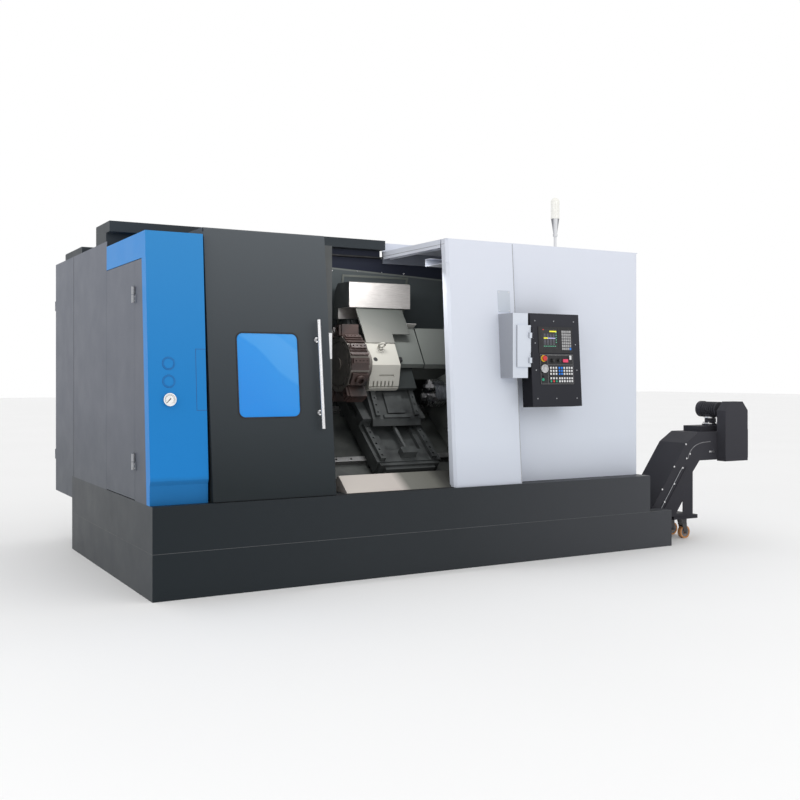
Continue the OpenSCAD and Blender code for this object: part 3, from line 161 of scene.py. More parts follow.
def paint(name, stops, weights=(0, 0, 1), lo=0.0, hi=2.4, rough=(0.36, 0.44), grain=0.015, peel=0.012,
          left=None):
    """Coated sheet metal: slow change of tone along one axis, which is painted light and shade, faint
    mottling, orange peel.

    left: colours for the faces that look to the left, painted light and shade on that side.
    """
    n = Nodes(name)
    tone = n.span(n.axis(weights), lo, hi)
    mottle = n.spread(n.noise(1.1, 2.0), -grain, grain)
    tone = n.math("ADD", tone, mottle)
    color = n.ramp(tone, stops)
    # Faces that look to the left get their own ramp: painted light and shade on that side
    if left:
        side = n.add("ShaderNodeVectorMath", operation="DOT_PRODUCT")
        n.link(n.add("ShaderNodeNewGeometry").outputs["Normal"], side.inputs[0])
        side.inputs[1].default_value = (-1, 0, 0)
        mix = n.add("ShaderNodeMix", data_type="RGBA")
        n.link(n.span(side.outputs["Value"], 0.5, 0.9), mix.inputs["Factor"])
        n.link(color, mix.inputs["A"])
        n.link(n.ramp(tone, left), mix.inputs["B"])
        color = mix.outputs["Result"]
    n.link(color, n.bsdf.inputs["Base Color"])
    n.link(n.spread(n.noise(5.0, 3.0), *rough), n.bsdf.inputs["Roughness"])
    n.bump(n.noise(420.0, 2.0), peel, 0.0004)
    return n.set(Specular_IOR_Level=0.05)


def steel(name, dark, light, rough, stretch, metal=1.0):
    """Bare metal with drawn or ground lines along one axis."""
    n = Nodes(name)
    lines = n.noise(6.0, 6.0, 0.65, stretch)
    stain = n.noise(3.0, 4.0)
    mixed = n.math("ADD", n.math("MULTIPLY", lines, 0.7), n.math("MULTIPLY", stain, 0.3))
    n.link(n.ramp(n.spread(mixed), [(0.0, dark), (1.0, light)]), n.bsdf.inputs["Base Color"])
    n.link(n.spread(lines, *rough), n.bsdf.inputs["Roughness"])
    n.bump(lines, 0.08, 0.0005)
    return n.set(Metallic=metal)


def plastic(name, dark, light, rough=(0.3, 0.45), coat=0.0):
    """Moulded plastic with a fine spark-eroded skin."""
    n = Nodes(name)
    skin = n.noise(60.0, 4.0, 0.6)
    n.link(n.ramp(n.spread(skin), [(0.0, dark), (1.0, light)]), n.bsdf.inputs["Base Color"])
    n.link(n.spread(n.noise(18.0, 3.0), *rough), n.bsdf.inputs["Roughness"])
    n.bump(n.noise(840.0, 2.0), 0.08, 0.0004)
    return n.set(Coat_Weight=coat, Coat_Roughness=0.1)


def casting(name, dark, light, rough=(0.45, 0.7), bump=0.35):
    """Painted casting: uneven skin with worn, oily patches."""
    n = Nodes(name)
    patch = n.noise(5.0, 6.0, 0.6)
    color = n.ramp(n.span(patch, 0.32, 0.68), [(0.0, dark), (0.6, light), (1.0, light)])
    n.link(color, n.bsdf.inputs["Base Color"])
    n.link(n.spread(n.noise(20.0, 4.0), *rough), n.bsdf.inputs["Roughness"])
    n.bump(n.noise(140.0, 4.0), bump, 0.0008)
    return n.set()


def shade(color, k):
    return tuple(c * k for c in color)


def glass_blue():
    """Tinted pane: painted light, the tone rising towards the top, and two slanting lighter bands of painted
    reflection.
    """
    n = Nodes("window_blue_painted_reflection")
    slant = n.span(n.axis((0.62, 0.0, 0.78)), 0.05, 0.62)
    soft = n.spread(n.noise(3.0, 2.0), -0.04, 0.04)
    tone = n.math("ADD", slant, soft)
    stops = [
        (0.0, (0.004, 0.225, 0.69)), (0.47, (0.012, 0.255, 0.71)), (0.5, (0.04, 0.3, 0.735)),
        (0.76, (0.055, 0.32, 0.75)), (0.79, (0.035, 0.295, 0.73)), (1.0, (0.06, 0.33, 0.75)),
    ]
    n.link(n.ramp(tone, stops), n.bsdf.inputs["Base Color"])
    n.link(n.spread(n.noise(30.0, 3.0), 0.06, 0.12), n.bsdf.inputs["Roughness"])
    return n.set(Coat_Weight=0.15, Coat_Roughness=0.03, Specular_IOR_Level=0.2)


# Looks by short name
M = {
    # Painted light: dark at the front left, lighter towards the right end; faces to the left painted lighter
    "base": paint(
        "base_charcoal",
        [(0, (0.021, 0.026, 0.03)), (0.5, (0.034, 0.038, 0.042)), (1, (0.066, 0.069, 0.076))],
        (1, 0, 0.15), -2.05, 2.2,
        left=[(0, (0.058, 0.064, 0.07)), (1, (0.06, 0.066, 0.072))],
    ),
    # Painted shade: darker towards the bottom; faces to the left painted darker
    "gray": paint(
        "panel_gray",
        [(0, (0.11, 0.122, 0.14)), (0.35, (0.165, 0.178, 0.21)), (1, (0.185, 0.2, 0.238))],
        lo=0.5, hi=2.3,
        left=[(0, (0.085, 0.095, 0.112)), (0.35, (0.118, 0.128, 0.155)), (1, (0.14, 0.152, 0.184))],
    ),
    # Painted light: darker towards the bottom, lighter towards the top and the right
    "door": paint(
        "door_charcoal",
        [(0, (0.022, 0.027, 0.03)), (0.5, (0.054, 0.062, 0.069)), (1, (0.098, 0.109, 0.119))],
        (0.12, 0, 1), 0.45, 2.2,
    ),
    "dark": paint(
        "roof_charcoal",
        [(0, (0.04, 0.047, 0.053)), (1, (0.047, 0.055, 0.062))],
        lo=2.2, hi=2.45,
    ),
    # Painted light and shade: darker at the foot below about 700 mm, lighter towards the top; faces to the
    # left painted lighter
    "blue": paint(
        "column_blue",
        [
            (0, (0.017, 0.14, 0.36)), (0.11, (0.018, 0.152, 0.39)), (0.13, (0.016, 0.2, 0.54)),
            (0.4, (0.018, 0.2, 0.52)), (1, (0.04, 0.235, 0.54)),
        ],
        lo=0.5, hi=2.3, rough=(0.3, 0.36),
        left=[(0, (0.02, 0.2, 0.55)), (1, (0.03, 0.24, 0.62))],
    ),
    # Painted shade: darker towards the bottom
    "white": paint(
        "cover_white",
        [(0, (0.50, 0.53, 0.60)), (0.22, (0.62, 0.66, 0.735)), (1, (0.69, 0.72, 0.80))],
        lo=0.5, hi=2.3,
    ),
    # Painted shade: faces to the left about half as bright as the front
    "bracket": paint(
        "bracket_white",
        [(0, (0.60, 0.64, 0.71)), (1, (0.64, 0.68, 0.75))],
        lo=1.3, hi=1.8,
        left=[(0, (0.30, 0.315, 0.35)), (1, (0.34, 0.355, 0.395))],
    ),
    # Painted shade: faces to the left darker than the front
    "control": paint(
        "control_black",
        [(0, (0.030, 0.031, 0.037)), (1, (0.042, 0.043, 0.051))],
        lo=1.1, hi=1.9, rough=(0.5, 0.6), peel=0.1,
        left=[(0, (0.012, 0.012, 0.015)), (1, (0.014, 0.014, 0.017))],
    ),
    "conveyor": paint(
        "conveyor_charcoal",
        [(0, (0.032, 0.032, 0.038)), (1, (0.052, 0.052, 0.06))],
        lo=0.0, hi=1.2, rough=(0.4, 0.5),
    ),
    "chamber": casting(
        "chamber_sheet",
        (0.05, 0.055, 0.058), (0.066, 0.072, 0.073), (0.3, 0.5), bump=0.05,
    ),
    "way": paint(
        "way_cover_green",
        [(0, (0.12, 0.13, 0.123)), (1, (0.22, 0.235, 0.22))],
        lo=1.3, hi=1.75, grain=0.08,
    ),
    "cast": casting("cast_green_black", (0.018, 0.02, 0.021), (0.05, 0.055, 0.055)),
    "bed": casting("bed_grey", (0.022, 0.025, 0.025), (0.065, 0.07, 0.066)),
    "stainless": steel(
        "stainless_sheet",
        (0.48, 0.455, 0.435), (0.72, 0.69, 0.67), (0.3, 0.5), (3, 40, 40), metal=0.55,
    ),
    "cream": paint(
        "housing_cream",
        [
            (0, (0.44, 0.43, 0.39)), (0.66, (0.47, 0.46, 0.42)), (0.675, (0.05, 0.055, 0.055)),
            (1, (0.04, 0.045, 0.045)),
        ],
        (1, 0, 0), -0.35, 0.065, (0.3, 0.5), 0.006,
    ),
    "disc": steel(
        "turret_grey",
        (0.10, 0.09, 0.08), (0.24, 0.22, 0.2), (0.35, 0.55), (40, 6, 6), metal=0.5,
    ),
    "holder": casting(
        "holder_brown",
        (0.006, 0.005, 0.005), (0.05, 0.029, 0.025), (0.35, 0.55), bump=0.08,
    ),
    "spindle": steel("spindle_ground", (0.4, 0.4, 0.4), (0.7, 0.7, 0.7), (0.16, 0.34), (60, 4, 4)),
    "jaw": steel("jaw_steel", (0.22, 0.22, 0.23), (0.45, 0.45, 0.46), (0.25, 0.45), (10, 30, 30)),
    "handle": steel("handle_satin", (0.55, 0.55, 0.56), (0.82, 0.82, 0.83), (0.2, 0.34), (60, 60, 2)),
    "chrome": steel("gauge_chrome", (0.7, 0.7, 0.71), (0.9, 0.9, 0.9), (0.08, 0.16), (20, 20, 20)),
    # Painted reflection: light and dark bands across the lamp from side to side as the camera sees it,
    # standing in for chrome
    "lamp_metal": paint(
        "lamp_metal",
        [
            (0, (0.14, 0.14, 0.15)), (0.16, (0.34, 0.34, 0.35)), (0.34, (0.66, 0.66, 0.67)),
            (0.66, (0.8, 0.8, 0.8)), (0.84, (0.28, 0.28, 0.29)), (1, (0.1, 0.1, 0.11)),
        ],
        (0.8695, -0.494, 0), 1.441, 1.501, (0.15, 0.25),
    ),
    "lens": plastic("lamp_lens", (0.80, 0.79, 0.73), (0.93, 0.92, 0.87), (0.1, 0.2), coat=0.5),
    "red": plastic("stop_red", (0.50, 0.012, 0.01), (0.62, 0.02, 0.016), (0.2, 0.32), coat=0.4),
    "black": plastic("knob_black", (0.012, 0.012, 0.013), (0.03, 0.03, 0.032)),
    "wheel_white": plastic("dial_white", (0.42, 0.42, 0.43), (0.62, 0.62, 0.63)),
    # Painted shade: the upper part of the back wall dark navy, its edge lower towards the right; a lighter
    # band just below it
    "back": paint(
        "back_wall_painted_shade",
        [
            (0, (0.09, 0.105, 0.11)), (0.47, (0.105, 0.12, 0.125)), (0.485, (0.2, 0.215, 0.205)),
            (0.505, (0.2, 0.215, 0.205)), (0.515, (0.03, 0.034, 0.052)), (1, (0.04, 0.045, 0.066)),
        ],
        (0.0457, 0, 1), 2.0, 2.36, (0.4, 0.55), 0.004,
    ),
    "trim": casting("back_trim", (0.1, 0.11, 0.1), (0.17, 0.185, 0.17), (0.4, 0.55), bump=0.1),
    # Painted shadow: bright stainless at the left end, dark grey towards the right, where the tray lies in
    # shadow
    "tray": paint(
        "tray_stainless_painted_shadow",
        [
            (0, (0.57, 0.53, 0.49)), (0.42, (0.5, 0.46, 0.43)), (0.5, (0.16, 0.16, 0.145)),
            (0.72, (0.13, 0.13, 0.115)), (0.8, (0.06, 0.06, 0.055)), (1, (0.04, 0.04, 0.038)),
        ],
        (1, 0.2, 0), -0.98, 0.02, (0.3, 0.45), 0.02,
    ),
    # Painted highlight: lighter towards the lower left of the leaves, darker upwards
    "leaf": paint(
        "leaf_gray_painted_highlight",
        [(0, (0.27, 0.265, 0.245)), (0.5, (0.15, 0.155, 0.145)), (1, (0.1, 0.107, 0.1))],
        (0.5, 0, 1), 1.45, 1.85, (0.3, 0.45), 0.06,
    ),
    "belt": steel("belt_worn", (0.18, 0.18, 0.18), (0.36, 0.36, 0.36), (0.4, 0.6), (20, 4, 20)),
    "tread": plastic("caster_tread", (0.42, 0.17, 0.05), (0.62, 0.29, 0.1), (0.4, 0.55)),
    "hub": plastic("caster_hub", (0.12, 0.12, 0.13), (0.22, 0.22, 0.23), (0.4, 0.55)),
    "fork": plastic("caster_fork", (0.02, 0.02, 0.022), (0.05, 0.05, 0.053), (0.35, 0.5)),
    "window": glass_blue(),
    "blue_line": plastic("column_line", (0.008, 0.06, 0.2), (0.012, 0.09, 0.27), (0.5, 0.7)),
    "plate": paint("plate_white", [(0, (0.52, 0.56, 0.62)), (1, (0.56, 0.60, 0.66))], lo=1.8, hi=2.0),
    "line": plastic("panel_line", (0.16, 0.16, 0.165), (0.24, 0.24, 0.245)),
    "glass_black": plastic(
        "display_black",
        (0.004, 0.004, 0.006), (0.008, 0.008, 0.011), (0.1, 0.16), coat=0.3,
    ),
    "field": plastic("panel_field", (0.010, 0.010, 0.012), (0.016, 0.016, 0.019), (0.5, 0.65)),
    # Painted highlight: joint strip lighter than the base
    "joint_highlight_paint": plastic("joint_highlight_paint", (0.05, 0.054, 0.058), (0.075, 0.08, 0.085), (0.5, 0.7)),
    "seam": plastic("seam_dark", (0.008, 0.008, 0.009), (0.02, 0.02, 0.022), (0.6, 0.8)),
    # Grey for hinges and screws, also for strips of painted shade and painted highlight
    "strip": plastic("seam_grey", (0.30, 0.31, 0.33), (0.40, 0.41, 0.43), (0.5, 0.7)),
    "key_white": plastic("key_white", (0.60, 0.60, 0.61), (0.76, 0.76, 0.77)),
    "key_grey": plastic("key_grey", (0.30, 0.30, 0.305), (0.42, 0.42, 0.425)),
    "key_blue": plastic("key_blue", (0.008, 0.17, 0.68), (0.018, 0.25, 0.86)),
    "key_green": plastic("key_green", (0.008, 0.24, 0.13), (0.016, 0.34, 0.20)),
    "key_red": plastic("key_red", (0.55, 0.03, 0.03), (0.72, 0.06, 0.05)),
    "pink": plastic("switch_pink", (0.70, 0.035, 0.11), (0.85, 0.07, 0.17)),
    "yellow": plastic("ring_yellow", (0.70, 0.42, 0.01), (0.85, 0.54, 0.02)),
    "dial": plastic("dial_face", (0.80, 0.80, 0.79), (0.90, 0.90, 0.89)),
    "screw": steel("screw_zinc", (0.55, 0.55, 0.56), (0.85, 0.85, 0.86), (0.2, 0.35), (30, 30, 30)),
}
# Look of each CAD node
NODE_LOOK = {
    "coolant_tank": "base",
    "bed_casing": "base",
    "slant_bed": "bed",
    "bed_rails": "belt",
    "chip_tray": "tray",
    "chamber_back": "back",
    "chamber_left_wall": "chamber",
    "headstock_panel": "chamber",
    "left_cover": "blue",
    "gauge_case": "chrome",
    "gauge_needle": "black",
    "side_panels": "gray",
    "side_door": "gray",
    "roof_unit": "dark",
    "rear_covers": "gray",
    "cabinet": "gray",
    "cabinet_door_left": "gray",
    "cabinet_door_right": "gray",
    "right_cover": "white",
    "right_panel": "white",
    "right_end_panel": "white",
    "right_roof": "white",
    "door_rails": "seam",
    "sliding_door": "door",
    "door_window": "window",
    "door_handle": "handle",
    "lamp_base": "lamp_metal",
    "lamp_lens": "lens",
    "control_bracket": "bracket",
    "control_box": "control",
    "operator_panel": "control",
    "estop_button": "red",
    "feed_knob": "black",
    "speed_knob": "black",
    "handwheel": "wheel_white",
    "headstock": "bed",
    "main_spindle": "spindle",
    "main_jaw_1": "jaw",
    "main_jaw_2": "jaw",
    "main_jaw_3": "jaw",
    "saddle": "cast",
    "wedge_slide": "cast",
    "drive_cover": "stainless",
    "slide_cover_middle": "leaf",
    "turret_housing": "cream",
    "turret_disc": "disc",
    "tool_holders": "holder",
    "way_cover": "way",
    "sub_carriage": "bed",
    "sub_spindle": "spindle",
    "sub_jaw_1": "jaw",
    "sub_jaw_2": "jaw",
    "sub_jaw_3": "jaw",
    "conveyor_casing": "conveyor",
    "conveyor_belt": "belt",
    "conveyor_drive": "conveyor",
    "caster_fork_front": "fork",
    "caster_fork_rear": "fork",
    "caster_wheel_front": "tread",
    "caster_wheel_rear": "tread",
}
for name, obj in NODES.items():
    obj.data.materials.clear()
    obj.data.materials.append(M[NODE_LOOK[name]])

# Added pieces


def piece(name, bm, look, body, smooth=False):
    """Makes a mesh object from a bmesh and fixes it to a body."""
    mesh = bpy.data.meshes.new(name)
    bmesh.ops.recalc_face_normals(bm, faces=bm.faces)
    bm.to_mesh(mesh)
    bm.free()
    mesh.materials.append(M[look])
    if smooth:
        for poly in mesh.polygons:
            poly.use_smooth = True
    obj = bpy.data.objects.new(name, mesh)
    bpy.context.scene.collection.objects.link(obj)
    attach(obj, body)


def add_block(bm, f, x0, x1, v0, v1, w0, w1, bevel=0.0):
    """Bevelled block in the coordinates of a face."""
    verts = [bm.verts.new(f(x, v, w)) for x in (x0, x1) for v in (v0, v1) for w in (w0, w1)]
    quads = [(0, 1, 3, 2), (4, 6, 7, 5), (0, 4, 5, 1), (2, 3, 7, 6), (0, 2, 6, 4), (1, 5, 7, 3)]
    faces = [bm.faces.new([verts[i] for i in q]) for q in quads]
    if bevel:
        edges = list({e for q in faces for e in q.edges})
        bmesh.ops.bevel(bm, geom=edges, offset=bevel / 1000, segments=2, affect="EDGES", profile=0.6)


def circle(x, v, r, segments):
    """Points round a circle in the coordinates of a face."""
    angles = [2 * math.pi * i / segments for i in range(segments)]
    return [(x + r * math.cos(a), v + r * math.sin(a)) for a in angles]


def bridge(bm, a, b):
    """Faces between two closed loops of vertices."""
    for i in range(len(a)):
        j = (i + 1) % len(a)
        bm.faces.new((a[i], a[j], b[j], b[i]))


def add_turned(bm, f, x, v, profile, segments=32):
    """Solid of revolution about the outward normal of a face: profile is a list of (radius, height)."""
    rings = []
    for r, w in profile:
        rings.append([bm.verts.new(f(px, pv, w)) for px, pv in circle(x, v, r, segments)])
    for a, b in zip(rings, rings[1:]):
        bridge(bm, a, b)
    bm.faces.new(rings[0])
    bm.faces.new(rings[-1])


def ctrl(u, v):
    """Place on the control's face, given in parts of its width and height."""
    return CONTROL_X + u * CONTROL_W, v * CONTROL_H


def rounded(x0, x1, v0, v1, r, steps=8):
    """Points round a rectangle with round corners."""
    corners = [(x1 - r, v1 - r, 0), (x0 + r, v1 - r, 90), (x0 + r, v0 + r, 180), (x1 - r, v0 + r, 270)]
    pts = []
    for cx, cv, a0 in corners:
        for i in range(steps + 1):
            a = math.radians(a0 + 90 * i / steps)
            pts.append((cx + r * math.cos(a), cv + r * math.sin(a)))
    return pts


def add_ring(bm, f, outer, inner, w0, w1):
    """Flat frame between two loops of the same number of points."""
    corners = ((outer, w0), (outer, w1), (inner, w1), (inner, w0))
    loops = [[bm.verts.new(f(x, v, w)) for x, v in loop] for loop, w in corners]
    for a, b in zip(loops, loops[1:] + loops[:1]):
        bridge(bm, a, b)


# Control panel: caps on the keys
KEY_U = [0.375, 0.43, 0.485, 0.55, 0.6, 0.65, 0.705, 0.755, 0.805]
KEY_V = [0.415, 0.383, 0.35, 0.302, 0.27]
CAP_HALF = 7.4
BLUE_ROWS = (0, 1, 2)
BLUE_COLS = (3, 4)
START_ROW = 4
GREEN_COLS = (0, 2)
RED_COL = 1
caps = {"key_white": bmesh.new(), "key_blue": bmesh.new(), "key_green": bmesh.new(), "key_red": bmesh.new()}
for row, v in enumerate(KEY_V):
    for col, u in enumerate(KEY_U):
        look = "key_white"
        if row in BLUE_ROWS and col in BLUE_COLS:
            look = "key_blue"
        if row == START_ROW and col in GREEN_COLS:
            look = "key_green"
        if row == START_ROW and col == RED_COL:
            look = "key_red"
        x, y = ctrl(u, v)
        add_block(caps[look], CONTROL, x - CAP_HALF, x + CAP_HALF, y - CAP_HALF, y + CAP_HALF, 4.0, 8.0, 1.4)
for look, bm in caps.items():
    piece("panel_caps_" + look, bm, look, "control", True)

# Keypad beside the display, with a blue key in its last place
PAD_COLS = 5
PAD_ROWS = 7
bm = bmesh.new()
blue = bmesh.new()
for i in range(PAD_COLS):
    for j in range(PAD_ROWS):
        x, y = ctrl(0.625 + i * 0.039, 0.61 + j * 0.031)
        last = i == PAD_COLS - 1 and j == 0
        add_block(blue if last else bm, CONTROL, x - 0.4, x + 13.4, y - 0.4, y + 16.4, 4.2, 7.8, 1.2)
piece("keypad_caps", bm, "key_grey", "control", True)
piece("keypad_blue_cap", blue, "key_blue", "control", True)


def lit(name, color, strength):
    """Lit mark on the display, slightly uneven."""
    n = Nodes(name)
    tone = n.ramp(n.noise(90.0, 2.0), [(0.3, shade(color, 0.75)), (0.7, color)])
    n.link(tone, n.bsdf.inputs["Base Color"])
    n.link(tone, n.bsdf.inputs["Emission Color"])
    return n.set(Emission_Strength=strength, Roughness=0.3)


M["lit_yellow"] = lit("lit_yellow", (0.75, 0.72, 0.03), 0.6)
M["lit_blue"] = lit("lit_blue", (0.50, 0.52, 0.85), 0.6)
M["lit_green"] = lit("lit_green", (0.10, 0.45, 0.28), 0.4)
M["lit_dim"] = lit("lit_dim", (0.13, 0.13, 0.17), 0.3)
M["lit_red"] = lit("lit_red", (0.45, 0.02, 0.02), 0.3)


def panel_block(bm, u0, u1, v0, v1, w0, w1, bevel=0.0):
    """Bevelled block on the control, given in parts of its width and height."""
    (x0, y0), (x1, y1) = ctrl(u0, v0), ctrl(u1, v1)
    add_block(bm, CONTROL, x0, x1, y0, y1, w0, w1, bevel)


# Display and its lit marks
bm = bmesh.new()
panel_block(bm, 0.235, 0.555, 0.632, 0.842, 1.6, 2.4, 0.4)
piece("display_screen", bm, "glass_black", "control")
marks = {k: bmesh.new() for k in ("lit_yellow", "lit_blue", "lit_green", "lit_dim", "lit_red")}


def mark(look, u0, u1, v0, v1):
    """Lit bar just above the display."""
    panel_block(marks[look], u0, u1, v0, v1, 2.35, 2.6, 0.05)


mark("lit_red", 0.245, 0.275, 0.822, 0.832)
mark("lit_yellow", 0.385, 0.525, 0.802, 0.816)
mark("lit_yellow", 0.265, 0.345, 0.730, 0.742)
mark("lit_blue", 0.345, 0.500, 0.732, 0.740)
for i in range(5):
    mark("lit_green", 0.507, 0.527, 0.688 + 0.026 * i, 0.696 + 0.026 * i)
COLOURED_ROW = 5
for i in range(4):
    for j in range(9):
        if j != COLOURED_ROW:
            mark("lit_dim", 0.268 + 0.06 * i, 0.305 + 0.06 * i, 0.668 + 0.0135 * j, 0.6735 + 0.0135 * j)
for i in range(6):
    mark("lit_green", 0.262 + 0.043 * i, 0.292 + 0.043 * i, 0.646, 0.652)
for look, bm in marks.items():
    piece("display_" + look, bm, look, "control")

# Black fields of the display unit and the machine panel
bm = bmesh.new()
panel_block(bm, 0.1705, 0.8495, 0.2353, 0.5647, 2.7, 3.04, 0.1)
piece("panel_field", bm, "field", "control")
bm = bmesh.new()
outer = [ctrl(u, v) for u, v in ((0.156, 0.5757), (0.849, 0.5757), (0.849, 0.8593), (0.156, 0.8593))]
inner = [ctrl(u, v) for u, v in ((0.235, 0.635), (0.55, 0.635), (0.55, 0.84), (0.235, 0.84))]
add_ring(bm, CONTROL, outer, inner, 3.6, 4.1)
piece("display_field", bm, "field", "control")

# Printed frames of the machine panel
bm = bmesh.new()
LINE_U = 0.0022
LINE_V = LINE_U * 0.66
FRAME_W0 = 3.05
FRAME_W1 = FRAME_W0 + 0.5
frame_lines = [
    (0.178, 0.242, 0.842, 0.242), (0.178, 0.558, 0.842, 0.558), (0.178, 0.242, 0.178, 0.558),
    (0.842, 0.242, 0.842, 0.558), (0.325, 0.25, 0.325, 0.55), (0.33, 0.448, 0.835, 0.448),
    (0.33, 0.55, 0.835, 0.55),
]
for u0, v0, u1, v1 in frame_lines:
    panel_block(bm, u0 - LINE_U, u1 + LINE_U, v0 - LINE_V, v1 + LINE_V, FRAME_W0, FRAME_W1, 0.1)
piece("panel_frames", bm, "line", "control")

# Ring of the emergency stop, switches, start button and screws
bm = bmesh.new()
x, y = ctrl(0.24, 0.515)
add_turned(bm, CONTROL, x, y, [(11.6, 5.8), (24.4, 5.8), (24.4, 6.6), (23.2, 7.4), (11.6, 7.4)])
piece("stop_ring", bm, "yellow", "control", True)
bm = bmesh.new()
x, y = ctrl(0.68, 0.49)
add_block(bm, CONTROL, x - 23, x + 23, y - 11, y + 13, 2.6, 12.0, 2.5)
piece("key_switch_cover", bm, "pink", "control", True)
bm = bmesh.new()
x, y = ctrl(0.78, 0.525)
add_block(bm, CONTROL, x - 9, x + 9, y - 16, y + 16, 3.0, 13.0, 4.0)
piece("selector_key", bm, "key_white", "control", True)
bm = bmesh.new()
x, y = ctrl(0.215, 0.288)
add_turned(bm, CONTROL, x, y, [(10.6, 3.0), (10.6, 7.6), (8.6, 8.8), (6.0, 9.2)])
piece("start_button_cap", bm, "key_green", "control", True)
bm = bmesh.new()
for u, v in [(0.1, 0.92), (0.48, 0.92), (0.89, 0.92), (0.09, 0.68), (0.91, 0.67), (0.09, 0.39), (0.92, 0.39),
             (0.1, 0.085), (0.48, 0.085), (0.9, 0.085)]:
    x, y = ctrl(u, v)
    add_turned(bm, CONTROL, x, y, [(4.7, 0.2), (4.7, 2.5), (3.6, 3.1), (2.0, 3.3)], 16)
piece("panel_screws", bm, "strip", "control", True)

# Pressure gauge: white dial with black ticks
GAUGE_X = 128
GAUGE_V = 494
TICKS = 28
FIRST_TICK = -135
TICK_STEP = 10
bm = bmesh.new()
add_turned(bm, COLUMN, GAUGE_X, GAUGE_V, [(3.0, 12.05), (33.6, 12.05), (33.6, 12.45), (3.0, 12.45)], 40)
piece("gauge_dial", bm, "dial", "frame", False)
bm = bmesh.new()
for i in range(TICKS):
    a = math.radians(FIRST_TICK + TICK_STEP * i)
    s, c = math.sin(a), math.cos(a)
    long = i % 3 == 0
    ring = lambda x, v, w: COLUMN(GAUGE_X + x * c + v * s, GAUGE_V - x * s + v * c, w)
    add_block(bm, ring, -0.7, 0.7, 23 if long else 26, 31, 12.5, 12.8)
piece("gauge_ticks", bm, "black", "frame")


def front(y0):
    """Upright face at one depth that looks to the front."""
    return lambda x, v, w: at(x, y0 - w, v)


# Hinges of the side door: gray sleeves and screws, lower half fixed, upper half on the door
HINGE_X = -12
HINGE_Y = 387


def side(x, v, w):
    """Left side face over the hinge leaves."""
    return at(-6.5 - w, x, v)


hinges = [
    ("low_a", "frame", 764, 345, 386), ("low_b", "frame", 1816, 345, 386),
    ("up_a", "side_door", 816.4, 391, 432), ("up_b", "side_door", 1868.4, 391, 432),
]
for tag, body, z0, y0, y1 in hinges:
    bm = bmesh.new()
    sleeve = [(8.0, z0 + 0.1), (10.6, z0 + 1.6), (10.6, z0 + 50.4), (8.0, z0 + 51.9)]
    add_turned(bm, at, HINGE_X, HINGE_Y, sleeve, 24)
    for z in (z0 + 13, z0 + 39):
        add_turned(bm, side, (y0 + y1) / 2, z, [(5.0, 0.0), (5.0, 1.4), (3.2, 2.2)], 16)
    piece("hinge_" + tag, bm, "strip", body)

# Joint between the side sheets and the cabinet
bm = bmesh.new()
add_block(bm, at, -0.8, 0.6, 2159.0, 2163.0, 574, 2282, 0.3)
piece("side_joint", bm, "seam", "frame")

# White cover: blank plate with four screws, grey edge strip of painted shade along its right edge, groove in
# the roof flange drawn as a grey strip of painted shade
bm = bmesh.new()
add_block(bm, COVER, 2587, 2695, 1256, 1417, 0.1, 2.6, 1.0)
piece("cover_plate", bm, "plate", "frame")
bm = bmesh.new()
for x in (2598, 2684):
    for v in (1268, 1405):
        add_turned(bm, COVER, x, v, [(4.6, 2.2), (4.6, 3.6), (3.0, 4.4)], 16)
piece("cover_plate_screws", bm, "screw", "frame")
bm = bmesh.new()
# Grey strip of painted shade along the gap at the cover's right edge
add_block(bm, COVER, 2733.5, 2739.5, 4, 1768, 0.05, 0.7, 0.2)
piece("cover_edge_painted_shade", bm, "strip", "frame")
bm = bmesh.new()
# Grey strip of painted shade standing for the groove in the roof flange
add_block(bm, at, 2159.2, 2160.4, 165, 1084, 2301, 2305, 0.3)
piece("roof_groove_painted_shade", bm, "strip", "frame")

# Blue column: shadow lines round the plugs and the hatch
bm = bmesh.new()
for v in (607, 717):
    for r0, r1, w0, w1 in ((PLUG_R + 2.4, PLUG_R - 0.2, 0.1, 0.8), (PLUG_R - 4.0, PLUG_R - 5.6, 3.0, 3.5)):
        add_ring(bm, COLUMN, circle(GAUGE_X, v, r0, 48), circle(GAUGE_X, v, r1, 48), w0, w1)
piece("plug_lines", bm, "blue_line", "frame")
bm = bmesh.new()
outer = [(300, 425), (366, 425), (366, 809), (300, 809)]
inner = [(303, 428), (365.5, 428), (365.5, 806), (303, 806)]
add_ring(bm, COLUMN, outer, inner, -1.4, 0.3)
piece("hatch_lines", bm, "blue_line", "frame")

# Wedge slide: gray skins on the shroud and the upper leaf, dark side of the drive cover
SLOPE_COS = 0.5
SLOPE_SIN = 0.866


def wedge(x, a, n):
    """Point on the wedge slide: distance up the slide and distance out of it, in millimetres."""
    up = a - 400
    out = n - 110
    return at(x, 649.55 + up * SLOPE_COS - out * SLOPE_SIN, 1441.35 + up * SLOPE_SIN + out * SLOPE_COS)


SHROUD_X0 = 2036.2
SHROUD_X1 = 2281.8
# Step of the shroud's lip along the slide and down to it
LIP_A = 16
LIP_N = 28
LIP_L = math.hypot(LIP_A, LIP_N)


def lip(x, t, w):
    """Slanting lip at the foot of the shroud."""
    return wedge(x, 404 - LIP_A * t / LIP_L - LIP_N * w / LIP_L, 112 - LIP_N * t / LIP_L + LIP_A * w / LIP_L)


